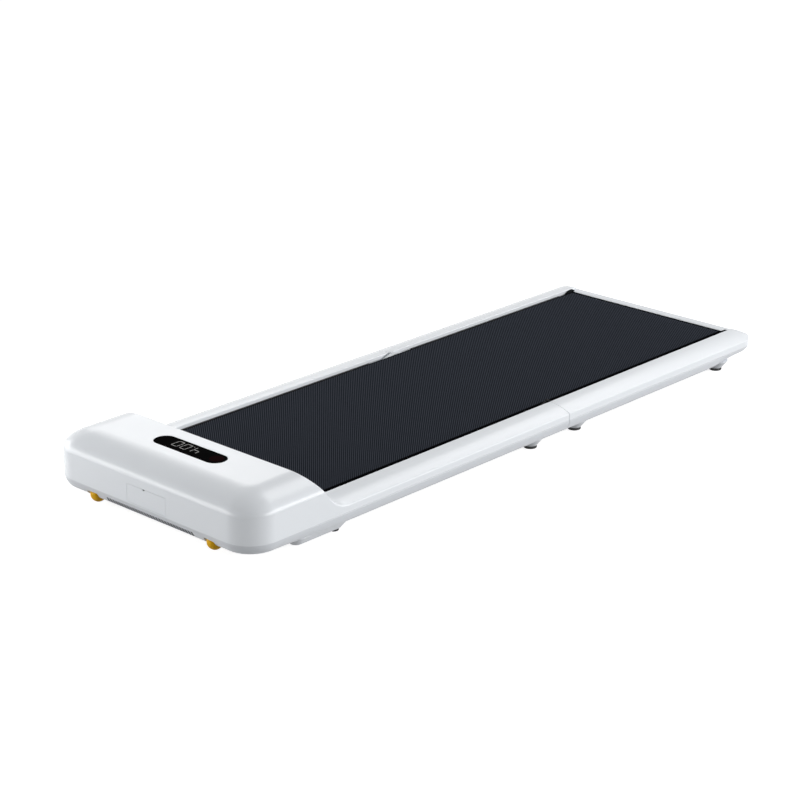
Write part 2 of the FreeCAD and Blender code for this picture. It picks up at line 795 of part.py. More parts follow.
def scoop_loop(share):
    """Section of the hollow blend that climbs from a rail to the back of the head and ends in a lip.

    share is 0 at the rail's inner edge and 1 at its outer edge.
    """
    rise = f"(scoop_inner_rise + {share} * (scoop_outer_rise - scoop_inner_rise))"
    length = f"(scoop_inner_length + {share} * (scoop_outer_length - scoop_inner_length))"
    top = rail_top(f"rail_inner + {share} * rail_run")
    low = f"{top} - shell_wall"
    peak = f"{top} + {rise}"
    end = f"{back_plane(top)} + {length}"
    lip = f"{back_plane(peak)} + scoop_lip"
    run = f"({end} - ({lip}))"
    radius = f"({run} * {run} + {rise} * {rise}) / (2 * {rise})"
    points = [(back_plane(low), low), (end, low), (end, top), (lip, peak), (back_plane(peak), peak)]
    arcs = {2: (end, f"{top} + {radius}", -1)}
    return points, arcs


def make_front_rails():
    """Front rail covers, cut by the leaning back of the head and blended up to it."""
    body = new_body("front_left_rail")
    prism(body, "YZ", "nose + hood_back_top", "front_end", [rail_channel()])
    low, high = "wall_low_height - past", "rail_inner_height + past"
    points = [
        (back_plane(low), low),
        (back_plane(high), high),
        ("nose + hood_back_top - past", high),
        ("nose + hood_back_top - past", low),
    ]
    prism(body, "XZ", "-half_width - past", "half_width + past", [(points, None)], removing=True)
    sketches = []
    for share in SCOOP_SHARES:
        sketch = new_sketch(body, "XZ", f"rail_inner + {share} * rail_run")
        add_loop(sketch, *scoop_loop(share))
        sketches.append(sketch)
    loft(body, sketches)
    keep("front_left_rail", body)
    keep("front_right_rail", mirrored(body, "front_right_rail"))


def make_rear_rails():
    """Rear rail covers with a solid end, rounded in plan and over its top."""
    body = new_body("rear_left_rail")
    prism(body, "YZ", "rear_start", "block_start", [rail_channel()])
    points = [
        ("-rail_inner", "wall_low_height + shell_wall"),
        ("-rail_inner", "rail_inner_height"),
        ("-half_width", "rail_crease_height"),
        ("-half_width", "wall_low_height"),
        ("-(rail_inner + shell_wall)", "wall_low_height"),
        ("-(rail_inner + shell_wall)", "wall_low_height + shell_wall"),
    ]
    dish = {1: ("-half_width", "rail_centre", -1)}
    pad = prism(body, "YZ", "block_start", "tail", [(points, dish)])
    corner = Vector(number("tail"), -number("half_width"), 0)
    names = []
    for index, edge in enumerate(pad.Shape.Edges, start=1):
        places = [Vector(vertex.X, vertex.Y, 0) for vertex in edge.Vertexes]
        if all(place.distanceToPoint(corner) < 1e-6 for place in places):
            names.append(f"Edge{index}")
    rounded = body.newObject("PartDesign::Fillet", "tail_round")
    rounded.Base = (pad, names)
    rounded.setExpression("Radius", expression("tail_corner"))
    doc.recompute()
    points = [
        ("tail_round_start", "tail_crown"),
        ("tail", "tail_round_low"),
        ("tail + past", "tail_round_low"),
        ("tail + past", "tail_crown + past"),
        ("tail_round_start", "tail_crown + past"),
    ]
    arcs = {0: ("tail_round_start", "tail_round_centre", -1)}
    prism(body, "XZ", "-half_width - past", "half_width + past", [(points, arcs)], removing=True)
    keep("rear_left_rail", body)
    keep("rear_right_rail", mirrored(body, "rear_right_rail"))


def make_tail_cover():
    """White strip behind the belt, between the two rails."""
    body = new_body("tail_cover")
    top = "tail_strip_height"
    points = [
        ("nose + tail_strip_from_nose", f"{top} - shell_wall"),
        ("nose + tail_strip_from_nose", top),
        ("tail_strip_end", top),
        ("tail", "tail_round_low"),
        ("tail", "wall_low_height"),
        ("tail - shell_wall", "wall_low_height"),
        ("tail - shell_wall", "tail_round_low - shell_wall / 2"),
        ("tail_strip_end - shell_wall", f"{top} - shell_wall"),
    ]
    arcs = {2: ("tail_round_start", "tail_round_centre", -1)}
    prism(body, "XZ", "-rail_inner", "rail_inner", [(points, arcs)])
    keep("tail_cover", body)


def hollow_bar(x, y, z, along):
    """Rectangular tube, open at both ends along X or Y."""
    outer = block(x, y, z)
    inside = {"x": x, "y": y, "z": z}
    for letter, (low, high) in inside.items():
        if letter != along:
            inside[letter] = (f"{low} + tube_wall", f"{high} - tube_wall")
    return cut(outer, [block(inside["x"], inside["y"], inside["z"])], "bar")


def make_tubes():
    """Two lengthwise tubes in each half, and cross tubes with rubber cushions under the deck."""
    for half in ("front", "rear"):
        ends = (f"{half}_tube_start", f"{half}_tube_end")
        for side, sign in SIDES.items():
            across = span(sign, "tube_inner", "tube_outer")
            keep(f"{half}_{side}_tube", hollow_bar(ends, across, ("floor_top", "tube_top"), "x"))
        bars = []
        pads = []
        for index in range(int(number("cross_tubes"))):
            middle = f"nose + {half}_cross_from_nose + {index} * {half}_cross_pitch"
            along = (f"{middle} - cross_tube_width / 2", f"{middle} + cross_tube_width / 2")
            levels = ("cross_top - cross_tube_height", "cross_top")
            bars.append(hollow_bar(along, ("-tube_inner", "tube_inner"), levels, "y"))
            for offset in ("-cushion_outer", "-cushion_inner", "cushion_inner", "cushion_outer"):
                pads.append(rod("z", "cushion_radius", "cross_top", "deck_bottom", (middle, offset)))
        keep(f"{half}_cross_tubes", group(bars))
        keep(f"{half}_cushions", group(pads))


def make_decks():
    """Two deck boards, notched at the fold for the hinge leaves."""
    for half, ends, notch in (
        ("front", ("nose + deck_front_from_nose", "front_end"), ("seam - hinge_notch", "front_end + past")),
        ("rear", ("rear_start", "nose + deck_rear_from_nose"), ("rear_start - past", "seam + hinge_notch")),
    ):
        levels = ("deck_bottom", "deck_top")
        board = block(ends, ("-deck_half", "deck_half"), levels)
        notches = []
        for sign in SIDES.values():
            across = span(sign, "hinge_start - hinge_notch_gap", "deck_half + past")
            notches.append(block(notch, across, ("deck_bottom - past", "deck_top + past")))
        keep(f"{half}_deck", cut(board, notches))


def make_walking_belt():
    """Endless belt round both rollers."""
    body = new_body("walking_belt")
    middle = "(front_roller + rear_roller) / 2"
    half_run = "(rear_roller - front_roller) / 2"
    radii = ("loop_outer", "loop_inner")
    loops = [stadium_loop(middle, "roller_height", half_run, radius) for radius in radii]
    prism(body, "XZ", "-belt_width / 2", "belt_width / 2", loops)
    keep("walking_belt", body)


def make_rollers():
    """Two drums, each on two bearings round a fixed axle."""
    half = "roller_length / 2"
    for end, x, reach in (
        ("front", "front_roller", "front_bracket_inner + bracket_thickness"),
        ("rear", "rear_roller", "rear_bracket_outer"),
    ):
        centre = (x, "roller_height")
        drum = ring("y", "roller_radius", "roller_bore / 2", f"-({half})", half, centre)
        keep(f"{end}_roller", drum)
        bearings = []
        for sign in SIDES.values():
            across = span(sign, f"{half} - bearing_width", half)
            outer = "roller_bore / 2 - running_clearance"
            inner = "axle_radius + running_clearance"
            bearings.append(ring("y", outer, inner, *across, centre))
        keep(f"{end}_roller_bearings", group(bearings))
        keep(f"{end}_axle", rod("y", "axle_radius", f"-({reach})", reach, centre))


def make_front_brackets():
    """Plates that carry the front axle from the ends of the front tubes."""
    brackets = []
    for sign in SIDES.values():
        plate = block(
            ("front_roller - bracket_margin", "front_tube_start"),
            span(sign, "front_bracket_inner", "front_bracket_inner + bracket_thickness"),
            ("bracket_low", "bracket_top"),
        )
        flange = block(
            ("front_tube_start - flange_thickness", "front_tube_start"),
            span(sign, "tube_inner", "tube_outer"),
            ("bracket_low", "tube_top"),
        )
        bore = rod("y", "axle_radius + running_clearance", "-half_width", "half_width",
                   ("front_roller", "roller_height"))
        brackets.append(cut(fuse([plate, flange]), [bore]))
    keep("front_axle_brackets", group(brackets))


def make_rear_brackets():
    """Slotted plates for the rear axle, with the bolts that tension the belt and the corner guards."""
    brackets = []
    bolts = []
    guards = []
    across_middle = "(rear_bracket_inner + rear_bracket_outer) / 2"
    slot_end = "rear_roller + bracket_margin"
    for sign in SIDES.values():
        across = span(sign, "rear_bracket_inner", "rear_bracket_outer")
        plate = block(("rear_tube_end", f"{slot_end} + flange_thickness"), across,
                      ("bracket_low", "bracket_top"))
        flange = block(("rear_tube_end", "rear_tube_end + flange_thickness"),
                       span(sign, "rear_bracket_inner", "tube_outer"),
                       ("bracket_low", "rail_low_height - slide_clearance"))
        half_slot = "axle_radius + running_clearance"
        slot = block(("rear_roller - bracket_margin", slot_end), across,
                     (f"roller_height - ({half_slot})", f"roller_height + {half_slot}"))
        centre = (f"{sign} * {across_middle}", "roller_height")
        hole = rod("x", "bolt_diameter / 2 + running_clearance", slot_end,
                   f"{slot_end} + 2 * flange_thickness", centre)
        brackets.append(cut(fuse([plate, flange]), [slot, hole]))
        shank = rod("x", "bolt_diameter / 2", "rear_roller + axle_radius + running_clearance",
                    f"{slot_end} + flange_thickness", centre)
        head = rod("x", "bolt_head_diameter / 2", f"{slot_end} + flange_thickness",
                   f"{slot_end} + flange_thickness + bolt_head_height", centre)
        bolts.append(fuse([shank, head]))
        guard_end = f"{slot_end} + flange_thickness"
        guards.append(block((f"{guard_end} - guard_length", guard_end), across,
                            ("bracket_top", "bracket_top + guard_height")))
    keep("rear_axle_brackets", group(brackets))
    keep("tension_bolts", group(bolts))
    keep("corner_guards", group(guards))


def make_motor():
    """Motor can with its rotor, pulleys, cradle and drive belt."""
    place = ("motor_x", "0", "motor_height")
    bore = "shaft_radius + running_clearance"
    inside = "motor_radius - motor_wall"
    can = [
        (bore, "motor_start"),
        ("motor_radius", "motor_start"),
        ("motor_radius", "motor_end"),
        (bore, "motor_end"),
        (bore, "motor_end - motor_cap"),
        (inside, "motor_end - motor_cap"),
        (inside, "motor_start + motor_cap"),
        (bore, "motor_start + motor_cap"),
    ]
    keep("motor_housing", turned("motor_housing", can, place, "y"))
    middle = "(motor_start + motor_end) / 2"
    rotor = [
        ("0", "motor_start - shaft_stub"),
        ("shaft_radius", "motor_start - shaft_stub"),
        ("shaft_radius", f"{middle} - rotor_length / 2"),
        ("rotor_diameter / 2", f"{middle} - rotor_length / 2"),
        ("rotor_diameter / 2", f"{middle} + rotor_length / 2"),
        ("shaft_radius", f"{middle} + rotor_length / 2"),
        ("shaft_radius", "pulley_end"),
        ("0", "pulley_end"),
    ]
    keep("motor_rotor", turned("motor_rotor", rotor, place, "y"))
    motor_centre = ("motor_x", "motor_height")
    keep("motor_pulley", ring("y", "motor_pulley_diameter / 2", "shaft_radius + running_clearance",
                              "pulley_start", "pulley_end", motor_centre))
    roller_centre = ("front_roller", "roller_height")
    hub = rod("y", "roller_bore / 2", "roller_length / 2", "pulley_start", roller_centre)
    wheel = rod("y", "roller_pulley_diameter / 2", "pulley_start", "pulley_end", roller_centre)
    hollow = rod("y", "axle_radius + 2 * slide_clearance", "roller_length / 2", "pulley_end", roller_centre)
    keep("roller_pulley", cut(fuse([hub, wheel]), [hollow]))
    seat = block(("motor_x - cradle_width / 2", "motor_x + cradle_width / 2"),
                 (f"{middle} - cradle_length / 2", f"{middle} + cradle_length / 2"),
                 ("floor_top", "floor_top + cradle_height"))
    hollow = rod("y", "motor_radius + running_clearance", "motor_start", "motor_end", motor_centre)
    keep("motor_cradle", cut(seat, [hollow]))


def open_loop(first, first_radius, second, second_radius, gap):
    """Face bounded by a taut loop round two circles in the XZ plane, a gap away from both."""
    near, far = first_radius + gap, second_radius + gap
    along = second - first
    reach = along.Length
    heading = math.atan2(along.z, along.x)
    lean = math.acos((near - far) / reach)
    edges = []
    touches = []
    for turn in (1, -1):
        direction = Vector(math.cos(heading + turn * lean), 0, math.sin(heading + turn * lean))
        touches.append((first + direction * near, second + direction * far))
    forward = Vector(along).normalize()
    (near_up, far_up), (near_down, far_down) = touches
    edges.append(Part.makeLine(near_up, far_up))
    edges.append(Part.Arc(far_up, second + forward * far, far_down).toShape())
    edges.append(Part.makeLine(far_down, near_down))
    edges.append(Part.Arc(near_down, first - forward * near, near_up).toShape())
    return Part.Face(Part.Wire(edges))


def make_drive_belt():
    """Flat drive belt from the motor pulley to the roller pulley."""
    middle = number("pulley_middle") - number("drive_belt_width") / 2
    motor = Vector(number("motor_x"), middle, number("motor_height"))
    roller = Vector(number("front_roller"), middle, number("roller_height"))
    small = number("motor_pulley_diameter / 2")
    large = number("roller_pulley_diameter / 2")
    along = Vector(0, number("drive_belt_width"), 0)
    loops = []
    for gap in (number("belt_gap"), number("belt_gap + drive_belt_thickness")):
        loops.append(open_loop(motor, small, roller, large, gap).extrude(along))
    part = doc.addObject("Part::Feature", "drive_belt")
    part.Shape = loops[1].cut(loops[0])
    keep("drive_belt", part)


def make_controller():
    """Motor controller: board, finned heat sink and two capacitors."""
    across = ("-controller_outer", "-controller_inner")
    board = block(("controller_front", "controller_back"), across, ("controller_bottom", "controller_top"))
    keep("controller_board", board)
    start = "controller_front + standoff_margin"
    low = "-controller_outer + 3 * standoff_margin"
    along = (start, f"{start} + sink_depth")
    pieces = [block(along, (low, f"{low} + sink_length"), ("controller_top", "controller_top + sink_base"))]
    pitch = "(sink_length - sink_fin) / (sink_fins - 1)"
    for index in range(int(number("sink_fins"))):
        side = f"{low} + {index} * {pitch}"
        levels = ("controller_top", "controller_top + sink_height")
        pieces.append(block(along, (side, f"{side} + sink_fin"), levels))
    keep("heat_sink", fuse(pieces))
    cans = []
    for index in (0, 1):
        centre = ("controller_back - capacitor_radius - standoff_margin",
                  f"-controller_outer + {3 + 4 * index} * capacitor_radius")
        top = "controller_top + capacitor_height"
        cans.append(rod("z", "capacitor_radius", "controller_top", top, centre))
    keep("capacitors", group(cans))


def make_display():
    """Stadium lens in the hood, over an open-topped housing that holds the display board."""
    lens = new_body("display_lens")
    prism(lens, "XY", "hood_ceiling", "hood_height",
          [stadium_loop("lens_x", "0", "lens_bend", "lens_width / 2", along_u=False)])
    keep("display_lens", lens)
    outer_x = ("lens_x - lens_width / 2 - lens_rim", "lens_x + lens_width / 2 + lens_rim")
    outer_y = ("-lens_length / 2 - lens_rim", "lens_length / 2 + lens_rim")
    inner_x = ("lens_x - lens_width / 2 + lens_rim", "lens_x + lens_width / 2 - lens_rim")
    inner_y = ("-lens_bend", "lens_bend")
    low = "hood_ceiling - display_depth"
    housing = block(outer_x, outer_y, (low, "hood_ceiling"))
    hollow = block(inner_x, inner_y, (f"{low} + lens_rim", "hood_ceiling + past"))
    keep("display_housing", cut(housing, [hollow]))
    board_x = ("lens_x - lens_width / 2 + 2 * lens_rim", "lens_x + lens_width / 2 - 2 * lens_rim")
    board_y = ("-lens_bend + lens_rim", "lens_bend - lens_rim")
    board_z = (f"{low} + lens_rim", f"{low} + lens_rim + board_thickness")
    keep("display_board", block(board_x, board_y, board_z))


def socket_frame(centre_y, width, tall, wall, depth, recess):
    """Panel socket: a bezel in front of the bay's back wall, a body through it and a recess."""
    def across(margin):
        return f"{centre_y} - {width} / 2 - ({margin})", f"{centre_y} + {width} / 2 + ({margin})"

    def levels(margin):
        return f"socket_height - {tall} / 2 - ({margin})", f"socket_height + {tall} / 2 + ({margin})"

    bezel = block(("bezel_front", "bay_wall_front"), across("flange_margin"), levels("flange_margin"))
    shell = block(("bay_wall_front", f"bay_wall_front + {depth}"), across("0"), levels("0"))
    hollow = block(("bezel_front", f"bezel_front + {recess}"), across(f"-{wall}"), levels(f"-{wall}"))
    hole = block(("bay_wall_front", "bay_back"), across("running_clearance"), levels("running_clearance"))
    return fuse([bezel, shell]), hollow, hole


def make_power_bay():
    """Recess behind the flap, with the mains inlet and the power switch on its back wall."""
    inlet_y, switch_y = "-socket_offset", "socket_offset"
    inlet, inlet_hollow, inlet_hole = socket_frame(
        inlet_y, "inlet_width", "inlet_tall", "inlet_wall", "inlet_depth", "inlet_recess")
    switch, switch_hollow, switch_hole = socket_frame(
        switch_y, "switch_width", "switch_tall", "switch_wall", "switch_depth", "switch_recess")
    keep("mains_inlet", cut(inlet, [inlet_hollow]))
    axle = rod("z", "trunnion_radius + running_clearance", "socket_height - switch_tall / 2",
               "socket_height + switch_tall / 2", ("rocker_axis_x", switch_y))
    keep("switch_body", cut(switch, [switch_hollow, axle]))
    inner_y = ("-flap_half_width + bay_margin", "flap_half_width - bay_margin")
    inner_z = ("flap_low_height + bay_margin", "flap_high_height - bay_margin")
    outer_y = tuple(f"{text} {way} 2 * shell_wall" for text, way in zip(inner_y, "-+"))
    outer_z = tuple(f"{text} {way} 2 * shell_wall" for text, way in zip(inner_z, "-+"))
    outer_z = ("wall_low_height + slide_clearance", outer_z[1])
    bay = block(("bay_front", "bay_back"), outer_y, outer_z)
    hollow = block(("bay_front - past", "bay_wall_front"), inner_y, inner_z)
    keep("power_bay", cut(bay, [hollow, inlet_hole, switch_hole]))
    pins = []
    root = "bezel_front + inlet_recess"
    for step in (-1, 0, 1):
        side = f"{inlet_y} + {step} * inlet_pin_pitch"
        rise = f"socket_height + {1 - abs(step)} * inlet_pin_wide / 2"
        pins.append(block((f"{root} - inlet_pin_length", root),
                          (f"{side} - inlet_pin_thick / 2", f"{side} + inlet_pin_thick / 2"),
                          (f"{rise} - inlet_pin_wide / 2", f"{rise} + inlet_pin_wide / 2")))
    keep("inlet_pins", group(pins))


def make_rocker():
    """Rocker of the power switch, on two small trunnions."""
    body = new_body("switch_rocker")
    reach = "switch_width / 2 - switch_wall - rocker_gap"
    tall = "switch_tall / 2 - switch_wall - rocker_gap"
    face = "bezel_front - rocker_rise"
    points = [
        ("rocker_axis_x + 2 * trunnion_radius", "socket_offset"),
        ("rocker_axis_x + trunnion_radius", f"socket_offset + {reach}"),
        (face, f"socket_offset + {reach}"),
        ("bezel_front - rocker_rise / 2", "socket_offset"),
        (face, f"socket_offset - ({reach})"),
        ("rocker_axis_x + trunnion_radius", f"socket_offset - ({reach})"),
    ]
    prism(body, "XY", f"socket_height - ({tall})", f"socket_height + {tall}", [(points, None)])
    end = "switch_tall / 2 - slide_clearance"
    peg(body, "XY", f"socket_height - ({end})", f"socket_height + {end}", "rocker_axis_x", "socket_offset",
        "trunnion_radius")
    keep("switch_rocker", body)


def make_power_flap():
    """Flap over the power bay, round along its hinged lower edge, with a shallow finger notch."""
    body = new_body("power_flap")
    inner = "nose + flap_thickness"
    points = [("nose", "flap_axis_z"), (inner, "flap_axis_z"), (inner, "flap_high_height"),
              ("nose", "flap_high_height")]
    arcs = {0: ("flap_axis_x", "flap_axis_z", 1)}
    prism(body, "XZ", "-flap_half_width", "flap_half_width", [(points, arcs)])
    peg(body, "YZ", "nose - past", "nose + notch_depth", "0", "flap_high_height", "notch_radius",
        removing=True)
    for sign in SIDES.values():
        stub = span(sign, "flap_half_width - flap_pin_radius",
                    "hatch_half + flap_pin_length - slide_clearance")
        peg(body, "XZ", *stub, "flap_axis_x", "flap_axis_z", "flap_pin_radius")
    keep("power_flap", body)


def make_wheels():
    """Two transport wheels on short axles in forks that stand in the front tray."""
    axles = []
    forks = []
    for side, sign in SIDES.items():
        middle = f"{sign} * wheel_offset"
        half = "wheel_width / 2"
        bore = "wheel_axle_diameter / 2 + running_clearance"
        shoulder = "wheel_radius - wheel_round"
        profile = [
            (bore, f"-{half}"),
            (shoulder, f"-{half}"),
            ("wheel_radius", f"-{half} + wheel_round"),
            ("wheel_radius", f"{half} - wheel_round"),
            (shoulder, half),
            (bore, half),
        ]
        arcs = {1: (shoulder, f"-{half} + wheel_round", 1), 3: (shoulder, f"{half} - wheel_round", 1)}
        place = ("wheel_x", middle, "wheel_height")
        keep(f"{side}_wheel", turned(f"{side}_wheel", profile, place, "y", arcs))
        centre = ("wheel_x", "wheel_height")
        ends = (f"{middle} - cheek_outer", f"{middle} + cheek_outer")
        axles.append(rod("y", "wheel_axle_diameter / 2", *ends, centre))
        along = ("wheel_x - fork_front", "wheel_x + fork_back")
        pieces = [block(along, ends, ("fork_high_height - fork_thickness / 2", "fork_high_height"))]
        for way in (-1, 1):
            cheek = span(way, "cheek_inner", "cheek_outer")
            flange = span(way, "cheek_inner", "cheek_outer + fork_flange")
            pieces.append(block(along, tuple(f"{middle} + {text}" for text in cheek),
                                ("fork_low_height", "fork_high_height")))
            seat = ("wheel_x - fork_flange_front", "wheel_x + fork_back")
            pieces.append(block(seat, tuple(f"{middle} + {text}" for text in flange),
                                ("floor_top", "floor_top + fork_thickness")))
        forks.append(cut(fuse(pieces), [rod("y", bore, *ends, centre)]))
    keep("wheel_axles", group(axles))
    keep("wheel_forks", group(forks))


def leaf(half, sign):
    """Hinge leaf: an upright plate beside the belt with a round eye, on a foot that meets its tube."""
    way = -1 if half == "front" else 1
    inner = "hinge_start" if half == "front" else "rear_leaf_inner"
    body = new_body(f"{half}_leaf")

    def x(distance):
        return f"seam + {way} * ({distance})"

    points = [
        (x("leaf_length"), "leaf_low_height"),
        (x("leaf_toe"), "leaf_low_height"),
        (x("-knuckle_radius"), "pivot_height"),
        (x("knuckle_radius"), "pivot_height"),
        (x("leaf_length"), "leaf_shoulder_height"),
    ]
    arcs = {2: ("seam", "pivot_height", -way)}
    plate = span(sign, inner, f"{inner} + leaf_thickness")
    prism(body, "XZ", *plate, [(points, arcs)])
    foot = rectangle((x("leaf_length"), x("leaf_toe")), ("leaf_low_height", "leaf_low_height + leaf_foot"))
    prism(body, "XZ", *span(sign, inner, "tube_inner"), [foot])
    peg(body, "XZ", *plate, "seam", "pivot_height", "hinge_pin_radius + running_clearance", removing=True)
    return body


def make_hinge():
    """Fold hinge: two pairs of leaves, each on a headed pin."""
    for half in ("front", "rear"):
        keep(f"{half}_hinge_leaves", group([leaf(half, sign) for sign in SIDES.values()]))
    pins = []
    for sign in SIDES.values():
        centre = ("seam", "pivot_height")
        head_start = "rear_leaf_outer + leaf_gap"
        shank = rod("y", "hinge_pin_radius", *span(sign, "hinge_start", head_start), centre)
        head_end = f"{head_start} + pin_head_height"
        head = rod("y", "pin_head_diameter / 2", *span(sign, head_start, head_end), centre)
        pins.append(fuse([shank, head]))
    keep("hinge_pins", group(pins))


def foot_cup(name, from_nose, sign):
    """Flared cup that carries a rubber foot under a tray."""
    points = [
        ("0", "foot_height"),
        ("cup_low_radius", "foot_height"),
        ("cup_top_radius", "underside_height"),
        ("0", "underside_height"),
    ]
    arcs = {1: ("cup_curve_out", "cup_curve_up", -1)}
    place = (f"nose + {from_nose}", f"{sign} * foot_offset", "0")
    return turned(name, points, place, arcs=arcs)


def make_feet():
    """Long pods under the head's back, flared cups along the rails and a rubber foot under each."""
    pods = []
    for sign in SIDES.values():
        body = new_body("pod")
        middle = f"{sign} * pod_offset"
        top = new_sketch(body, "XY", "underside_height")
        add_loop(top, *stadium_loop("pod_x", middle, "pod_half", "pod_width / 2"))
        low = new_sketch(body, "XY", "foot_height")
        add_loop(low, *stadium_loop("pod_x", middle, "pod_half - pod_end_taper + pod_taper",
                                    "pod_width / 2 - pod_taper"))
        loft(body, [top, low])
        pods.append(body)
    keep("foot_pods", group(pods))
    for half, places in (
        ("front", (("pod_foot_from_nose", "pod_offset", "pod_foot_radius"),
                   ("front_foot_from_nose", "foot_offset", "foot_radius"))),
        ("rear", (("middle_foot_from_nose", "foot_offset", "foot_radius"),
                  ("rear_foot_from_nose", "foot_offset", "foot_radius"))),
    ):
        feet = []
        for from_nose, offset, radius in places:
            for sign in SIDES.values():
                points = [("0", "0"), (f"{radius} - foot_bevel", "0"), (radius, "foot_bevel"),
                          (radius, "foot_height"), ("0", "foot_height")]
                feet.append(turned("foot", points, (f"nose + {from_nose}", f"{sign} * {offset}", "0")))
        keep(f"{half}_feet", group(feet))
    for half, places in (("front", ["front_foot_from_nose"]),
                         ("rear", ["middle_foot_from_nose", "rear_foot_from_nose"])):
        cups = [foot_cup("cup", from_nose, sign) for from_nose in places for sign in SIDES.values()]
        keep(f"{half}_foot_cups", group(cups))


def build():
    """Make every sub-part."""
    make_hood()
    make_head_shell()
    make_front_tray()
    make_rear_tray()
    make_front_rails()
    make_rear_rails()
    make_tail_cover()
    make_tubes()
    make_decks()
    make_walking_belt()
    make_rollers()
    make_front_brackets()
    make_rear_brackets()
    make_motor()
    make_drive_belt()
    make_controller()
    make_display()
    make_power_bay()
    make_rocker()
    make_power_flap()
    make_wheels()
    make_hinge()
    make_feet()
    doc.recompute()


def check():
    """Stop on any failed feature or unsound solid."""
    for item in doc.Objects:
        if {"Invalid", "Error"} & set(item.State):
            raise RuntimeError(f"{item.Label} failed: {item.State}")
    for label, part in nodes.items():
        if part.Shape.isNull() or not part.Shape.isValid() or not part.Shape.Solids:
            raise RuntimeError(f"{label} has no sound solid")


def write():
    """Write one file for each sub-part."""
    os.makedirs("parts", exist_ok=True)
    for label, part in nodes.items():
        part.Shape.exportStep(f"parts/{label}.step")
        print(f"{label}: {len(part.Shape.Solids)} solids, {part.Shape.Volume / 1000:.1f} cm3")


build()
check()
write()
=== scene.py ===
"""Looks of the folding walking pad: fine shells, belt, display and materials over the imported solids.

Shapes are worked out in millimetres, in the part's own frame: +X from the head to the tail, +Z up, and
the origin on the floor under the middle of the object.
"""
import json
import math

import bmesh
import bpy
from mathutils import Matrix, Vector


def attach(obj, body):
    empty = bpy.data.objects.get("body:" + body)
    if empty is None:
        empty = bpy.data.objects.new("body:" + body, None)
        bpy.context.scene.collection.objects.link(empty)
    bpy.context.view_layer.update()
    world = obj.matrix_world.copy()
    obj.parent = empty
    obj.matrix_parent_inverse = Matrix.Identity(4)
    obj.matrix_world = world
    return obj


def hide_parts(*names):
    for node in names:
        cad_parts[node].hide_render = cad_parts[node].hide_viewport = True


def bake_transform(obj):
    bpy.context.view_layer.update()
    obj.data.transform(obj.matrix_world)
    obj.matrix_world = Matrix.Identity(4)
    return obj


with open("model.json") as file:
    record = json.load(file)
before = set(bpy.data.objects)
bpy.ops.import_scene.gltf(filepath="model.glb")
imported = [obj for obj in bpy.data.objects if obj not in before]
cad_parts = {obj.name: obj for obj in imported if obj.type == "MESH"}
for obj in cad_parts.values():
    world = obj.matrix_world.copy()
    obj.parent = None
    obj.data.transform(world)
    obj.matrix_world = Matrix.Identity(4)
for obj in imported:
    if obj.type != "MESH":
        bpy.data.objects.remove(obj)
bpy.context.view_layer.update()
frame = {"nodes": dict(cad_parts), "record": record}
nodes = frame["nodes"]

MM = 0.001
# Points closer than WELD are joined, and points within ON_EDGE of a line lie on it.
WELD = 0.02
ON_EDGE = 0.05
# Edges that turn by more degrees than these are rounded, or stay sharp in the shading.
ROUNDED_FROM = 20
SHARP_FROM = 38
CARVED_SHARP_FROM = 30
# Steps round a corner of the shell, round a half circle, and across a rail.
CORNER_STEPS = 16
ROUND_STEPS = 14
RAIL_COLUMNS = 12

# Outline and levels of the shell.
NOSE = -722.5
TAIL = 722.5
HALF_WIDTH = 259.5
SEAM = 109.2
FRONT_END = SEAM - 0.5
REAR_START = SEAM + 0.5
UNDERSIDE = 20.0
FLOOR_TOP = 22.0
LOW_CREASE = 40.0
RAIL_CREASE = 52.0
RAIL_TOP = 64.7
CREASE = 90.0
HOOD_TOP = 122.0
RAIL_INNER = 208.7
RAIL_LOW = 44.0
RAIL_WALL = 4.0
HEAD_CORNER = 60.0
TAIL_CORNER = 32.0
SKIN = 3.0
# The upper shell stands a little inside the tray, and the hood a little inside the head's wall.
SHELL_INSET = 1.2
HOOD_INSET = 1.35
HOOD_FULLNESS = 1.75
HOOD_RUN = 63.0
HOOD_FADE = 0.75
BACK_TOP = NOSE + 157
BACK_LEAN = 43 / 62.3
APRON_LOW = 62.5
APRON_HALF = 256.5
# The hollow blend from the rails up to the head, at the rail's inner and outer edge.
SCOOP_RISE = (13.0, 25.0)
SCOOP_LENGTH = (17.5, 32.5)
SCOOP_LIP = 1.5
# The domed top of the rails, level beside the belt and falling to the outer crease.
RAIL_RUN = HALF_WIDTH - RAIL_INNER
RAIL_RADIUS = (RAIL_RUN ** 2 + (RAIL_TOP - RAIL_CREASE) ** 2) / (2 * (RAIL_TOP - RAIL_CREASE))
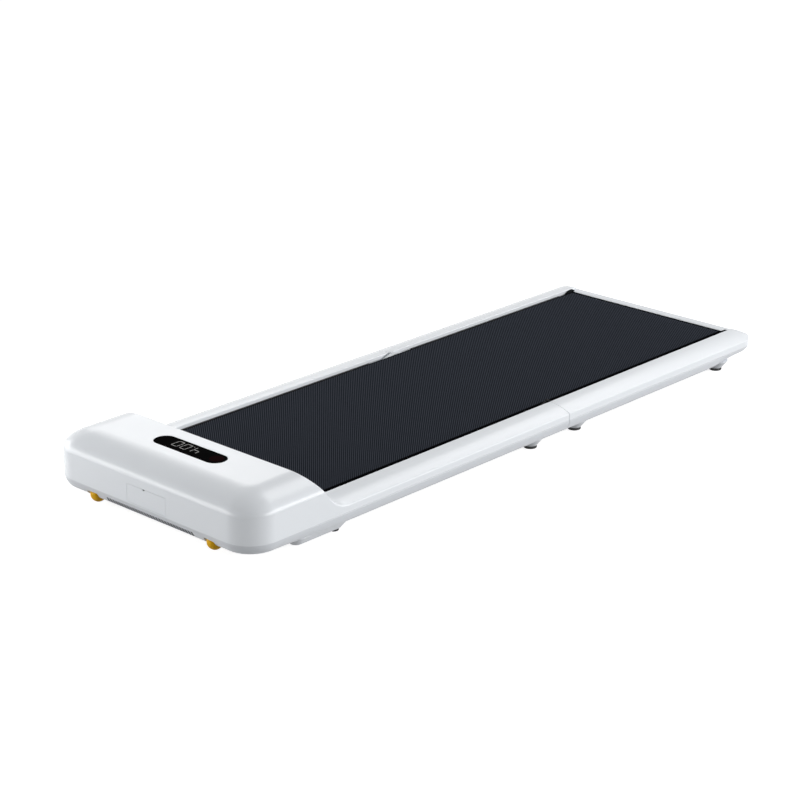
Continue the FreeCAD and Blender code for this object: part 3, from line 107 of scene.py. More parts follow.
# The tail: the strip behind the belt, its thin lip and the rounding down to the tail's wall.
TAIL_STRIP = 60.5
TAIL_STRIP_START = NOSE + 1424
TAIL_LIP = NOSE + 1415.5
TAIL_LIP_LOW = 58.9
TAIL_ROUND_RUN = 20.0
TAIL_ROUND_DROP = 17.5
TAIL_CROWN = RAIL_TOP + 0.5
TAIL_ROUND = (TAIL_ROUND_RUN ** 2 + TAIL_ROUND_DROP ** 2) / (2 * TAIL_ROUND_DROP)
TAIL_SOFTNESS = 0.7
TAIL_BEND_X = TAIL - TAIL_CORNER
TAIL_BEND_Y = HALF_WIDTH - TAIL_CORNER
TAIL_TURN = TAIL_CORNER - SHELL_INSET
TAIL_BACK = TAIL - SHELL_INSET
TAIL_WALL_LOW = 44.0
LIP_SECTION = [
    (TAIL_STRIP_START, TAIL_WALL_LOW), (TAIL_STRIP_START, TAIL_LIP_LOW - 3),
    (TAIL_LIP + 4, TAIL_LIP_LOW - 0.7), (TAIL_LIP, TAIL_LIP_LOW),
    (TAIL_LIP + 0.2, TAIL_STRIP - 0.6), (TAIL_LIP + 0.6, TAIL_STRIP - 0.2), (TAIL_LIP + 1.4, TAIL_STRIP),
]
# Roundings of edges.
RIM_ROUND = 2.6
WINDOW_ROUND = 0.5
CREASE_ROUND = 2.4
INNER_ROUND = 1.6
HEAD_ROUND = 0.3
FLAP_ROUND = 0.35
GUARD_ROUND = 0.6
GAP_SHADE_ROUND = 0.3

# The bevel under the shell: how far it draws in at the ends and along the sides, and how full it is
# round the corners, by the vents and along the sides.
END_BEVEL = 14.0
VENT_BEVEL = 11.0
TAIL_BEVEL = 23.0
SIDE_BEVEL = 8.0
END_FULLNESS = 1.75
TAIL_FULLNESS = 1.4
VENT_FULLNESS = 1.1
SIDE_FULLNESS = 1.5
BEVEL_FADE = 130.0
VENT_FADE = 60.0
BEVEL_STEPS = 9
BEVEL_TOP = 39.8
SIDE_BEVEL_TOP = 38.0
# Insets and heights of the tray's wall, over its bevel and inside it, at the ends and along the sides.
END_LEDGE = [(4.0, LOW_CREASE), (1.6, LOW_CREASE), (1.5, 39.98), (1.35, 39.95), (1.25, 39.9)]
END_INSIDE = [(23.5, FLOOR_TOP), (21.0, FLOOR_TOP + 0.8), (5.2, 38.5), (4.0, 39.7)]
SIDE_LEDGE = [(2.8, LOW_CREASE), (1.3, LOW_CREASE), (0.7, 39.75), (0.3, 39.3), (0.1, 38.8)]
SIDE_INSIDE = [(11.5, FLOOR_TOP), (10.0, FLOOR_TOP + 0.8), (3.4, 38.5), (2.8, 39.7)]

# Hatch opening in the head's wall, and the flap in it with its finger notch.
HATCH_HALF = 50.5
HATCH_LOW = 42.0
HATCH_HIGH = 76.4
FLAP_HALF = 50.0
FLAP_LOW = 42.4
FLAP_HIGH = 75.8
FLAP_BACK = NOSE + 2.7
NOTCH_HALF = 3.2
NOTCH_DEPTH = 2.4
NOTCH_Y = 6.0

# Display: the digits read from the walker's side, so their tops point to the nose.
LENS_X = NOSE + 105.5
LENS_HALF = 85.5
LENS_RADIUS = 21.0
LENS_RUN = LENS_HALF - LENS_RADIUS
LENS_TOP = 121.7
LENS_GAP = 0.4
LENS_EDGE = ((0.0, HOOD_TOP - SKIN), (0.0, LENS_TOP - 0.3), (0.1, LENS_TOP - 0.08), (0.4, LENS_TOP))
DIGIT_X = NOSE + 108.5
DIGIT_HALF_HEIGHT = 10.5
DIGIT_HALF_WIDTH = 6.8
DIGIT_STROKE = 1.4
DIGIT_GAP = 0.4
DIGIT_LEVEL = LENS_TOP + 0.05
DIGIT_PLACES = (("4", -13.0), ("0", 13.5), ("0", 34.5))
DIGIT_POINT = (NOSE + 117.5, 1.5)
POINT_RADIUS = DIGIT_STROKE * 0.7
# Places of a digit's bars, across and down in half widths and half heights, and the bars of each digit.
SEGMENTS = {
    "a": (0, -1), "b": (1, -0.5), "c": (1, 0.5), "d": (0, 1), "e": (-1, 0.5), "f": (-1, -0.5), "g": (0, 0),
}
DIGIT_BARS = {"0": "abcdef", "4": "bcfg"}
SENSOR_PLACE = (LENS_X + 2, -LENS_RUN - 1)
SENSOR_RADIUS = 13.0
SENSOR_LEVEL = LENS_TOP + 0.03

# Feet, pods and wheels.
FOOT_HEIGHT = 6.3
FOOT_OFFSET = 228.5
FOOT_RADIUS = 13.0
CUP_RADII = (14.0, 24.5)
FRONT_CUPS = (NOSE + 753,)
REAR_CUPS = (NOSE + 885, NOSE + 1350)
POD_X = NOSE + 180
POD_OFFSET = 229.5
POD_HALVES = (58.0, 70.0)
POD_RADII = (12.0, 22.0)
POD_FOOT_X = NOSE + 225
POD_FOOT_RADIUS = 9.0
WHEEL_X = NOSE + 21
WHEEL_OFFSET = 151.5
WHEEL_HEIGHT = 21.9
WHEEL_RADIUS = 15.0
WHEEL_HALF = 12.0
WHEEL_ROUND = 11.0
WHEEL_GAP = 1.2
# Radii on a wheel's side, and how far in from its end each lies.
HUB_FACE = ((3.2, 0.6), (5.2, 0.2), (5.8, 0.9), (6.4, 0.2))
WELL_ENDS = (NOSE + 16.1, NOSE + 37.5)
WELL_HALF = 15.9
WELL_LEVELS = (10, 33)

# Vent slots in the front bevel, and the dark comb behind them, whose teeth fill the slots as painted shade
# inside the vents.
VENT_COUNT = 30
VENT_HALF_SPAN = 111.5
VENT_WIDTH = 5.0
VENT_PITCH = (2 * VENT_HALF_SPAN - VENT_WIDTH) / (VENT_COUNT - 1)
VENT_LOW = 19.0
VENT_HIGH = 31.0
VENT_ENDS = (NOSE - 2, NOSE + 20.5)
VENT_DEPTH = 0.4
COMB_THICKNESS = 9.0
COMB_GAP = 0.05
COMB_HEIGHTS = (20.6, 23.0, 26.0, VENT_HIGH + 0.1)

# Belt, with the black guards and the black strip of painted shade under the tail's lip at its rear end. Their
# sections run along X from the nose.
BELT_TOP = 59.7
BELT_HALF = 200.0
BELT_THICKNESS = 1.6
BELT_LANES = 10
BELT_FRONT = NOSE + 150
BELT_REAR = NOSE + 1403.8
ROLLER_Z = 41.8
BELT_RADIUS = BELT_TOP - ROLLER_Z
FOLD_REACH = 5.0
# Dark bands along the belt's edges, shifted to the left: about 3 mm of plain edge on the right, and 8 mm on
# the left, which adds painted shadow of the left rail.
EDGE_AND_SHADOW_WIDTH = 5.5
TREAD_PITCH = 3.57
SHADOW_SHIFT = 2.5
TREAD_LOWERED = 0.5
TREAD_FLOOR = -0.4
TREAD_DEPTH = 0.3
# Tread colours: painted shade in the grooves, painted light on the rib tops.
GROOVE_SHADE_COLOUR = (0.001, 0.0013, 0.002)
RIB_LIGHT_COLOUR = (0.062, 0.070, 0.088)
# Colour of the edge bands: plain edge, and painted shadow on the left.
EDGE_AND_SHADOW_COLOUR = (0.003, 0.003, 0.0035)
BELT_GLOSS = (0.62, 0.74)
GUARD_SIDES = (201.4, 208.2)
GUARD_SECTION = (
    (1394.8, 54.8), (1394.8, 58.6), (1399.0, 61.2), (1404.0, 63.0), (1409.0, 63.8), (1416.0, 63.8),
    (1419.5, 62.6), (1421.0, 60.0), (1421.0, 54.8),
)
GUARD_ROUND_FROM = 58
# Black strip under the tail's lip: painted shade in the gap behind the belt.
GAP_SHADE_HALF = 201.0
GAP_SHADE_SECTION = (
    (1417.8, 55.8), (1418.4, 57.4), (1420.0, 57.8), (1423.9, 55.7), (1423.9, 49.5), (1421.9, 50.5),
)

# Range that most of a noise texture falls in, and scales of the noise in a surface's colour and gloss.
NOISE_RANGE = (0.3, 0.7)
PATCH_SCALE = 9.0
GLOSS_SCALE = 40.0
GRAIN_STRENGTH = 0.25
HINGE_BLACK = (0.008, 0.008, 0.009)
HINGE_WHITE = (0.74, 0.77, 0.80)
DIGIT_LIGHT = (1.0, 0.98, 0.94, 1)
DIGIT_GLOW = (0.09, 0.18)

# Camera of the photograph, and the studio. A lamp has its name, place, the point that it faces, its width
# and height in metres and its power in watts.
CAMERA_PLACE = (-2.9767, -2.6946, 1.5400)
CAMERA_TILT = 20.43
CAMERA_TURN = 47.03
CAMERA_LENS = 99.66
CAMERA_SENSOR = 36.0
CAMERA_REACH = 50
AMBIENT = 0.22
FLOOR_GREY = 0.5
FLOOR_GLOW = 0.86
FLOOR_REACH = 30.0
LAMPS = (
    ("left key", (-1.9, 1.7, 0.6), (-0.7, 0.1, 0.05), (4.0, 1.0), 53),
    ("right key", (6.0, -8.6, 2.9), (0.1, 0, 0.05), (14.0, 4.4), 1180),
    ("front fill", (-3.2, -3.2, 1.2), (-0.3, 0, 0.05), (1.6, 1.2), 4),
    ("hood panel", (1.35, 2.55, 1.5), (-0.6, 0, 0.1), (1.3, 1.2), 10.5),
    ("back panel", (2.7, 0.3, 3.1), (0, 0, 0.05), (2.0, 2.4), 47),
)


class Sheet:
    """Loose faces in millimetres, welded into one mesh when they are made into a piece."""

    def __init__(self):
        self.points = []
        self.faces = []

    def face(self, corners):
        """One flat face."""
        start = len(self.points)
        self.points += [tuple(corner) for corner in corners]
        self.faces.append(tuple(range(start, start + len(corners))))

    def strip(self, first, second):
        """Four-sided faces between two lines of as many points."""
        for index in range(len(first) - 1):
            self.face([first[index], first[index + 1], second[index + 1], second[index]])

    def grid(self, rows):
        """Faces between successive lines of points."""
        for first, second in zip(rows, rows[1:]):
            self.strip(first, second)

    def prism(self, first, second):
        """Closed form between two outlines of as many points."""
        self.strip(first + first[:1], second + second[:1])
        self.face(first)
        self.face(second)

    def box(self, low, high):
        """Closed block between two corners."""
        x, y, z = zip(low, high)
        plan = [(x[0], y[0]), (x[1], y[0]), (x[1], y[1]), (x[0], y[1])]
        self.prism(at_height(plan, z[0]), at_height(plan, z[1]))

    def mirror(self):
        """Add the same faces on the other side of the middle."""
        for face in list(self.faces):
            corners = [self.points[index] for index in reversed(face)]
            self.face([(x, -y, z) for x, y, z in corners])


def welded(sheet):
    """Mesh data under construction, in metres, with coincident points joined."""
    form = bmesh.new()
    corners = [form.verts.new(Vector(point) * MM) for point in sheet.points]
    for face in sheet.faces:
        form.faces.new([corners[index] for index in face])
    bmesh.ops.remove_doubles(form, verts=form.verts, dist=WELD * MM)
    bmesh.ops.dissolve_degenerate(form, edges=form.edges, dist=WELD * MM / 2)
    bmesh.ops.recalc_face_normals(form, faces=form.faces)
    return form


def round_edges(form, test, width, segments):
    """Round the sharp edges whose two ends, in millimetres, pass a test."""
    chosen = []
    for edge in form.edges:
        if len(edge.link_faces) != 2 or math.degrees(edge.calc_face_angle(0)) < ROUNDED_FROM:
            continue
        if all(test(*(corner.co / MM)) for corner in edge.verts):
            chosen.append(edge)
    bmesh.ops.bevel(form, geom=chosen, offset=width * MM, offset_type="OFFSET", segments=segments,
                    profile=0.5, affect="EDGES", clamp_overlap=True)


def place_in_scene(name, data):
    """New object in the scene."""
    thing = bpy.data.objects.new(name, data)
    bpy.context.scene.collection.objects.link(thing)
    return thing


def shade(thing, sharp):
    """Shade a thing smoothly between its sharp edges."""
    thing.data.set_sharp_from_angle(angle=math.radians(sharp))
    weights = thing.modifiers.new("weighted normals", "WEIGHTED_NORMAL")
    weights.keep_sharp = True


def finish_mesh(name, form):
    """Turn mesh data into a smooth-shaded object."""
    mesh = bpy.data.meshes.new(name)
    for face in form.faces:
        face.smooth = True
    form.to_mesh(mesh)
    form.free()
    thing = place_in_scene(name, mesh)
    shade(thing, SHARP_FROM)
    return thing


def piece(name, sheet, material, body, replaced=(), rounds=()):
    """A finished piece of the object from a sheet of faces."""
    form = welded(sheet)
    for test, width, segments in rounds:
        round_edges(form, test, width, segments)
    return dress(finish_mesh(name, form), material, body, replaced)


def dress(thing, material, body, replaced):
    """Give a piece its material, its body and the solids that it stands for."""
    thing.data.materials.clear()
    thing.data.materials.append(material)
    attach(thing, body)
    if replaced:
        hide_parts(*replaced)
    return thing


def carve(thing, cutter_sheet):
    """Cut closed blocks out of a closed piece."""
    cutter = finish_mesh("cutter", welded(cutter_sheet))
    modifier = thing.modifiers.new("carve", "BOOLEAN")
    modifier.operation = "DIFFERENCE"
    modifier.solver = "EXACT"
    modifier.object = cutter
    graph = bpy.context.evaluated_depsgraph_get()
    mesh = bpy.data.meshes.new_from_object(thing.evaluated_get(graph))
    thing.modifiers.clear()
    old = thing.data
    thing.data = mesh
    mesh.name = thing.name
    bpy.data.meshes.remove(old)
    bpy.data.meshes.remove(cutter.data)
    shade(thing, CARVED_SHARP_FROM)


def bend(x, y, radius, start, end, steps):
    """Points on an arc in plan, angles in degrees."""
    angles = [math.radians(start + (end - start) * step / steps) for step in range(steps + 1)]
    return [(x + radius * math.cos(angle), y + radius * math.sin(angle)) for angle in angles]


def head_path(inset, corner, back):
    """Plan of the head from its left rear end, round the front, to its right rear end."""
    side = HALF_WIDTH - inset
    front = NOSE + inset
    x, y = front + corner, side - corner
    left = bend(x, -y, corner, 270, 180, CORNER_STEPS)
    right = bend(x, y, corner, 180, 90, CORNER_STEPS)
    return [(back, -side)] + left + right + [(back, side)]


def rim(bend_x, corner, end):
    """Outline of one half from its left end, round its closed end, to its right end.

    Each spot has its place, its outward direction, how far along the side it lies and how far along
    the closed end, both from 0 at the corner to 1.
    """
    way = 1 if bend_x > end else -1
    bend_y = HALF_WIDTH - corner
    half = [(end, -HALF_WIDTH, 0.0, -1.0, 1.0, 0.0)]
    stations = 8
    for step in range(stations, -1, -1):
        share = step / stations
        half.append((bend_x - way * BEVEL_FADE * share, -HALF_WIDTH, 0.0, -1.0, eased(share), 0.0))
    for step in range(1, CORNER_STEPS + 1):
        angle = math.pi / 2 * step / CORNER_STEPS
        u, v = way * math.sin(angle), -math.cos(angle)
        half.append((bend_x + corner * u, -bend_y + corner * v, u, v, 0.0, 0.0))
    for step in range(1, stations + 1):
        share = step / stations
        half.append((bend_x + way * corner, -bend_y + VENT_FADE * share, way, 0.0, 0.0, eased(share)))
    return half + [(x, -y, u, -v, side, middle) for x, y, u, v, side, middle in reversed(half)]


def drawn_in(outline, at_corner, at_side, at_middle):
    """Ring inside an outline. An inset and a height are given for a corner, a side and an end's middle."""
    ring = []
    for x, y, u, v, side, middle in outline:
        spots = zip(at_corner, at_side, at_middle)
        inset, z = [c + (s - c) * side + (m - c) * middle for c, s, m in spots]
        ring.append((x - u * inset, y - v * inset, z))
    return ring


def bevel_line(start, top, reach, fullness):
    """Insets and heights down a bevel, from straight at a fullness of 1 to a quarter round at 2."""
    line = []
    for step in range(BEVEL_STEPS + 1):
        angle = math.pi / 2 * step / BEVEL_STEPS
        out = math.cos(angle) ** (2 / fullness)
        down = math.sin(angle) ** (2 / fullness)
        line.append((start + reach * (1 - out), top - (top - UNDERSIDE) * down))
    return line


def at_height(path, z):
    """Points of a plan at one height."""
    return [(x, y, z) for x, y in path]


def eased(share):
    """Smooth passage from 0 to 1."""
    return share * share * (3 - 2 * share)


def back_plane(z):
    """X of the head's leaning back at a height."""
    return BACK_TOP + (HOOD_TOP - z) * BACK_LEAN


def rail_height(y):
    """Height of a rail's domed top at a distance from the middle, level beside the belt."""
    return RAIL_TOP - RAIL_RADIUS + math.sqrt(RAIL_RADIUS ** 2 - (abs(y) - RAIL_INNER) ** 2)


def soft_min(first, second, softness):
    """The lower of two heights, blended where they meet."""
    low = min(first, second)
    return low - softness * math.log(math.exp((low - first) / softness) + math.exp((low - second) / softness))


def stadium(x, y, half_run, radius, along_y):
    """Plan of two half circles joined by straight sides."""
    first = bend(0, half_run, radius, 0, 180, ROUND_STEPS)
    second = bend(0, -half_run, radius, 180, 360, ROUND_STEPS)
    spots = first + second
    if along_y:
        return [(x + u, y + v) for u, v in spots]
    return [(x + v, y - u) for u, v in spots]


def lathe(sheet, profile, centre, axis="z", steps=48):
    """Turn a line of radii and distances about an axis through a centre."""
    rows = []
    for radius, along in profile:
        row = []
        for step in range(steps + 1):
            angle = 2 * math.pi * step / steps
            u, v = radius * math.cos(angle), radius * math.sin(angle)
            spot = (u, v, along) if axis == "z" else (u, along, v)
            row.append(tuple(base + part for base, part in zip(centre, spot)))
        rows.append(row)
    sheet.grid(rows)


def on_outer_side(y):
    """Whether a point lies on the upper shell's long sides."""
    return abs(abs(y) - HALF_WIDTH + SHELL_INSET) < ON_EDGE


def on_inner_edge(x, y, z):
    """Whether a point lies on a rail's edge beside the belt."""
    return abs(abs(y) - RAIL_INNER) < ON_EDGE and z > RAIL_TOP - 0.1


def cut_window(form):
    """Fill the hood's flat top round the window for the lens, and give the window a wall."""
    window = stadium(LENS_X, 0, LENS_RUN, LENS_RADIUS + LENS_GAP, True)
    edge = [form.verts.new(Vector((x, y, HOOD_TOP)) * MM) for x, y in window]
    outline = [form.edges.new((edge[i], edge[(i + 1) % len(edge)])) for i in range(len(edge))]
    level = (HOOD_TOP - 0.01) * MM
    top = [line for line in form.edges if line.is_boundary and all(end.co.z > level for end in line.verts)]
    bmesh.ops.triangle_fill(form, use_beauty=True, edges=outline + top)
    wall = bmesh.ops.extrude_edge_only(form, edges=outline)["geom"]
    lowered = [item for item in wall if isinstance(item, bmesh.types.BMVert)]
    bmesh.ops.translate(form, verts=lowered, vec=(0, 0, -SKIN * MM))
    bmesh.ops.recalc_face_normals(form, faces=form.faces)


def make_hood(material):
    """Moulded hood: a domed skin with a rounded rear rim, a leaning back and a window for the lens."""
    sheet = Sheet()
    steps = 20
    rings = []
    for step in range(steps + 1):
        angle = math.radians(90 * step / steps)
        run = HOOD_RUN * (1 - math.cos(angle) ** (2 / HOOD_FULLNESS))
        z = CREASE + (HOOD_TOP - CREASE) * math.sin(angle) ** (2 / HOOD_FULLNESS)
        corner = HEAD_CORNER - HOOD_INSET - HOOD_FADE * run
        rings.append(at_height(head_path(HOOD_INSET + run, corner, back_plane(z)), z))
    sheet.grid(rings)
    rear_rim = [ring[0] for ring in rings] + [ring[-1] for ring in reversed(rings)]
    corners = ((APRON_HALF, CREASE), (APRON_HALF, APRON_LOW), (-APRON_HALF, APRON_LOW), (-APRON_HALF, CREASE))
    apron = [(back_plane(z), y, z) for y, z in corners]
    sheet.face(rear_rim + apron)
    under = [(x - SKIN, y, z) for x, y, z in apron]
    sheet.face([apron[1], apron[2], under[2], under[1]])
    form = welded(sheet)
    cut_window(form)

    def on_rim(x, y, z):
        return abs(x - back_plane(z)) < ON_EDGE and z > CREASE - 0.1

    def on_window(x, y, z):
        return z > HOOD_TOP - 0.01 and abs(x - LENS_X) < LENS_RADIUS + 1 and abs(y) < LENS_HALF + 1

    round_edges(form, on_rim, RIM_ROUND, 5)
    round_edges(form, on_window, WINDOW_ROUND, 2)
    dress(finish_mesh("hood_skin", form), material, "front", ["hood"])


def rail_column(share):
    """One lengthwise line of the left front rail's top, from the head's back to the seam."""
    y = -(RAIL_INNER + share * (HALF_WIDTH - SHELL_INSET - RAIL_INNER))
    top = rail_height(y)
    rise = SCOOP_RISE[0] + share * (SCOOP_RISE[1] - SCOOP_RISE[0])
    length = SCOOP_LENGTH[0] + share * (SCOOP_LENGTH[1] - SCOOP_LENGTH[0])
    peak = top + rise
    end = back_plane(top) + length
    lip = back_plane(peak) + SCOOP_LIP
    run = end - lip
    radius = (run ** 2 + rise ** 2) / (2 * rise)
    widest = math.asin(min(1, run / radius))
    line = [(back_plane(peak), y, peak)]
    steps = 12
    for step in range(steps + 1):
        angle = widest * (1 - step / steps)
        line.append((end - radius * math.sin(angle), y, top + radius * (1 - math.cos(angle))))
    for share_along in (0.02, 0.1, 0.5):
        line.append((end + (FRONT_END - end) * share_along, y, top))
    line.append((FRONT_END, y, top))
    return line


def rail_end(row, x):
    """Closed end of a rail at the seam."""
    outer = row[-1][1]
    inner = row[0][1]
    wall = outer - math.copysign(RAIL_WALL, outer)
    return [(x, inner, RAIL_LOW)] + row + [(x, outer, LOW_CREASE), (x, wall, LOW_CREASE), (x, wall, RAIL_LOW)]


def front_rails():
    """Sheet of both front rails with the hollow blend, and of the head's straight sides."""
    lines = [rail_column(index / RAIL_COLUMNS) for index in range(RAIL_COLUMNS + 1)]
    rows = [list(row) for row in zip(*lines)]
    sheet = Sheet()
    sheet.grid(rows)
    outer = lines[-1]
    sheet.strip(outer, [(x, y, LOW_CREASE) for x, y, z in outer])
    inner = lines[0]
    sheet.strip(inner, [(x, y, RAIL_LOW) for x, y, z in inner])
    sheet.face(rail_end(rows[-1], FRONT_END))
    side = -(HALF_WIDTH - SHELL_INSET)
    bend_x = NOSE + HEAD_CORNER
    sheet.face([(outer[0][0], side, LOW_CREASE), outer[0], (back_plane(CREASE), side, CREASE),
                (bend_x, side, CREASE), (bend_x, side, LOW_CREASE)])
    sheet.mirror()
    return sheet


def across_hatch(x, low, high):
    """Corners of a rectangle as wide as the hatch, between two heights."""
    return [(x, -HATCH_HALF, low), (x, HATCH_HALF, low), (x, HATCH_HALF, high), (x, -HATCH_HALF, high)]


def add_head_wall(sheet):
    """Wall round the head's front, with the hatch opening and a ledge under the hood."""
    corner = HEAD_CORNER - SHELL_INSET
    path = head_path(SHELL_INSET, corner, back_plane(CREASE))
    half = len(path) // 2
    for turn in (path[1:half], path[half:-1]):
        sheet.strip(at_height(turn, CREASE), at_height(turn, LOW_CREASE))
    front = NOSE + SHELL_INSET
    edge = path[half][1]
    beside = [(edge, LOW_CREASE), (edge, CREASE), (HATCH_HALF, CREASE), (HATCH_HALF, HATCH_HIGH),
              (HATCH_HALF, HATCH_LOW), (HATCH_HALF, LOW_CREASE)]
    for way in (-1, 1):
        sheet.face([(front, way * y, z) for y, z in beside])
    for low, high in ((LOW_CREASE, HATCH_LOW), (HATCH_HIGH, CREASE)):
        sheet.face(across_hatch(front, low, high))
    rings = [across_hatch(x, HATCH_LOW, HATCH_HIGH) for x in (front, NOSE + SKIN)]
    sheet.strip(*[ring + ring[:1] for ring in rings])
    ledge = head_path(SHELL_INSET + SKIN, corner - SKIN, back_plane(CREASE))
    sheet.strip(at_height(path, CREASE), at_height(ledge, CREASE))


def make_front_shell(material):
    """Head wall and both front rails in one skin."""
    sheet = front_rails()
    add_head_wall(sheet)

    def on_crease(x, y, z):
        return on_outer_side(y) and z > RAIL_CREASE - 1 and x > back_plane(z) + 0.5

    def on_head_edge(x, y, z):
        return abs(z - CREASE) < ON_EDGE

    rounds = ((on_crease, CREASE_ROUND, 5), (on_inner_edge, INNER_ROUND, 3), (on_head_edge, HEAD_ROUND, 2))
    replaced = ["head_shell", "front_left_rail", "front_right_rail"]
    piece("front_shell_skin", sheet, material, "front", replaced, rounds)


def tail_height(x, y):
    """Height of the rear shell's top, which rounds off towards the tail."""
    level = rail_height(y) if abs(y) >= RAIL_INNER - 0.01 else TAIL_STRIP
    along = x + SHELL_INSET - (TAIL - TAIL_ROUND_RUN)
    if along <= 0:
        return level
    rounded = TAIL_CROWN - TAIL_ROUND + math.sqrt(TAIL_ROUND ** 2 - along ** 2)
    return soft_min(level, rounded, TAIL_SOFTNESS)


def rear_rails():
    """Sheet of both rear rails with the tail's rounded corners."""
    stations = [REAR_START, REAR_START + 250] + [TAIL_BEND_X - before for before in (60, 45, 30, 15)]
    limits = [HALF_WIDTH - SHELL_INSET] * len(stations)
    for step in range(CORNER_STEPS + 1):
        angle = math.radians(90 * step / CORNER_STEPS)
        stations.append(TAIL_BEND_X + TAIL_TURN * math.sin(angle))
        limits.append(TAIL_BEND_Y + TAIL_TURN * math.cos(angle))
    rows = []
    for x, limit in zip(stations, limits):
        width = limit - RAIL_INNER
        places = [RAIL_INNER + width * index / RAIL_COLUMNS for index in range(RAIL_COLUMNS + 1)]
        rows.append([(x, -y, tail_height(x, y)) for y in places])
    sheet = Sheet()
    sheet.grid(rows)
    outer = [row[-1] for row in rows]
    for edge in (outer, rows[-1]):
        sheet.strip(edge, [(x, y, LOW_CREASE) for x, y, z in edge])
    inner = [row[0] for row in rows]
    sheet.strip(inner, [(x, y, RAIL_LOW) for x, y, z in inner])
    sheet.face(rail_end(rows[0], REAR_START))
    sheet.mirror()
    return sheet


def add_tail_strip(sheet):
    """Strip behind the belt, from its lip over the rounded tail to the tray."""
    run = list(LIP_SECTION)
    start = run[-1][0]
    steps = 18
    for step in range(1, steps + 1):
        x = start + (TAIL_BACK - start) * math.sin(math.pi / 2 * step / steps)
        run.append((x, tail_height(x, 0)))
    run.append((TAIL_BACK, LOW_CREASE))
    sheet.grid([[(x, -RAIL_INNER, z), (x, RAIL_INNER, z)] for x, z in run])


def make_rear_shell(material):
    """Both rear rails and the strip behind the belt in one skin."""
    sheet = rear_rails()
    add_tail_strip(sheet)

    def on_crease(x, y, z):
        on_side = on_outer_side(y)
        across = abs(y) - TAIL_BEND_Y
        reach = math.hypot(x - TAIL_BEND_X, across)
        on_corner = x > TAIL_BEND_X - 0.1 and across > -0.1 and abs(reach - TAIL_TURN) < ON_EDGE
        on_back = abs(x - TAIL_BACK) < ON_EDGE
        on_end = on_corner or on_back or (on_side and x < TAIL_BEND_X + 0.1)
        above_wall = z > TAIL_WALL_LOW and x > REAR_START + 0.1
        return (above_wall and on_end) or (on_side and z > RAIL_CREASE - 1)

    rounds = ((on_crease, CREASE_ROUND, 5), (on_inner_edge, INNER_ROUND, 3))
    replaced = ["rear_left_rail", "rear_right_rail", "tail_cover"]
    piece("rear_shell_skin", sheet, material, "rear", replaced, rounds)


def tray_sheet(bend_x, corner, end, corner_bevel, middle_bevel):
    """Shallow pan: a ledge under the upper shell, a full bevel and a flat floor, open at the fold."""
    outline = rim(bend_x, corner, end)
    at_corner = END_LEDGE + bevel_line(SHELL_INSET, BEVEL_TOP, *corner_bevel) + END_INSIDE
    at_middle = END_LEDGE + bevel_line(SHELL_INSET, BEVEL_TOP, *middle_bevel) + END_INSIDE
    at_side = SIDE_LEDGE + bevel_line(0.0, SIDE_BEVEL_TOP, SIDE_BEVEL, SIDE_FULLNESS) + SIDE_INSIDE
    rings = [drawn_in(outline, *spots) for spots in zip(at_corner, at_side, at_middle)]
    outside = len(rings) - len(END_INSIDE)
    sheet = Sheet()
    sheet.grid(rings[:outside])
    sheet.grid(rings[outside:] + rings[:1])
    sheet.face(rings[outside - 1])
    sheet.face(rings[outside])
    # The section at the fold closes the wall and the floor.
    left = [ring[0] for ring in rings[:outside]]
    right = [ring[-1] for ring in rings[:outside]]
    inner_left = [ring[0] for ring in rings[outside:]]
    inner_right = [ring[-1] for ring in rings[outside:]]
    sheet.face(left + right[::-1] + inner_right[::-1] + inner_left)
    return sheet


def make_trays(material):
    """Front and rear pans. Returns the front one."""
    head = (END_BEVEL, END_FULLNESS)
    vents = (VENT_BEVEL, VENT_FULLNESS)
    tail = (TAIL_BEVEL, TAIL_FULLNESS)
    front = tray_sheet(NOSE + HEAD_CORNER, HEAD_CORNER, FRONT_END, head, vents)
    rear = tray_sheet(TAIL_BEND_X, TAIL_CORNER, REAR_START, tail, tail)
    piece("rear_tray_skin", rear, material, "rear", ["rear_tray"])
    return piece("front_tray_skin", front, material, "front", ["front_tray"])


def carve_vents(tray):
    """Slots in the front bevel, and openings that fit closely round the wheels."""
    slots = Sheet()
    for index in range(VENT_COUNT):
        y = -VENT_HALF_SPAN + VENT_PITCH * index
        slots.box((VENT_ENDS[0], y, VENT_LOW), (VENT_ENDS[1], y + VENT_WIDTH, VENT_HIGH))
    radius, half = WHEEL_RADIUS + WHEEL_GAP, WHEEL_HALF + WHEEL_GAP
    opening = [(0, -half), (radius, -half), (radius, half), (0, half)]
    wells = Sheet()
    for way in (-1, 1):
        middle = way * WHEEL_OFFSET
        lathe(slots, opening, (WHEEL_X, middle, WHEEL_HEIGHT), "y")
        wells.box((WELL_ENDS[0], middle - WELL_HALF, WELL_LEVELS[0]),
                  (WELL_ENDS[1], middle + WELL_HALF, WELL_LEVELS[1]))
    carve(tray, slots)
    carve(tray, wells)


def vent_inset(z):
    """How far the front bevel is drawn in at a height, by the vents."""
    down = (BEVEL_TOP - z) / (BEVEL_TOP - UNDERSIDE)
    return SHELL_INSET + VENT_BEVEL * (1 - (1 - down ** VENT_FULLNESS) ** (1 / VENT_FULLNESS))


def make_vent_shade(material):
    """Dark comb behind the vent slots, with one tooth in each slot, as painted shade inside the vents."""
    sheet = Sheet()
    outer = [(NOSE + vent_inset(z) + VENT_DEPTH, z) for z in COMB_HEIGHTS]
    inner = [(x + COMB_THICKNESS, z) for x, z in reversed(outer)]
    for index in range(VENT_COUNT):
        low = -VENT_HALF_SPAN + VENT_PITCH * index + COMB_GAP
        ends = (low, low + VENT_WIDTH - 2 * COMB_GAP)
        sheet.prism(*[[(x, y, z) for x, z in outer + inner] for y in ends])
    # Painted shade: the black teeth make the vents look dark inside.
    comb = piece("vent_shade_comb", sheet, material, "front")


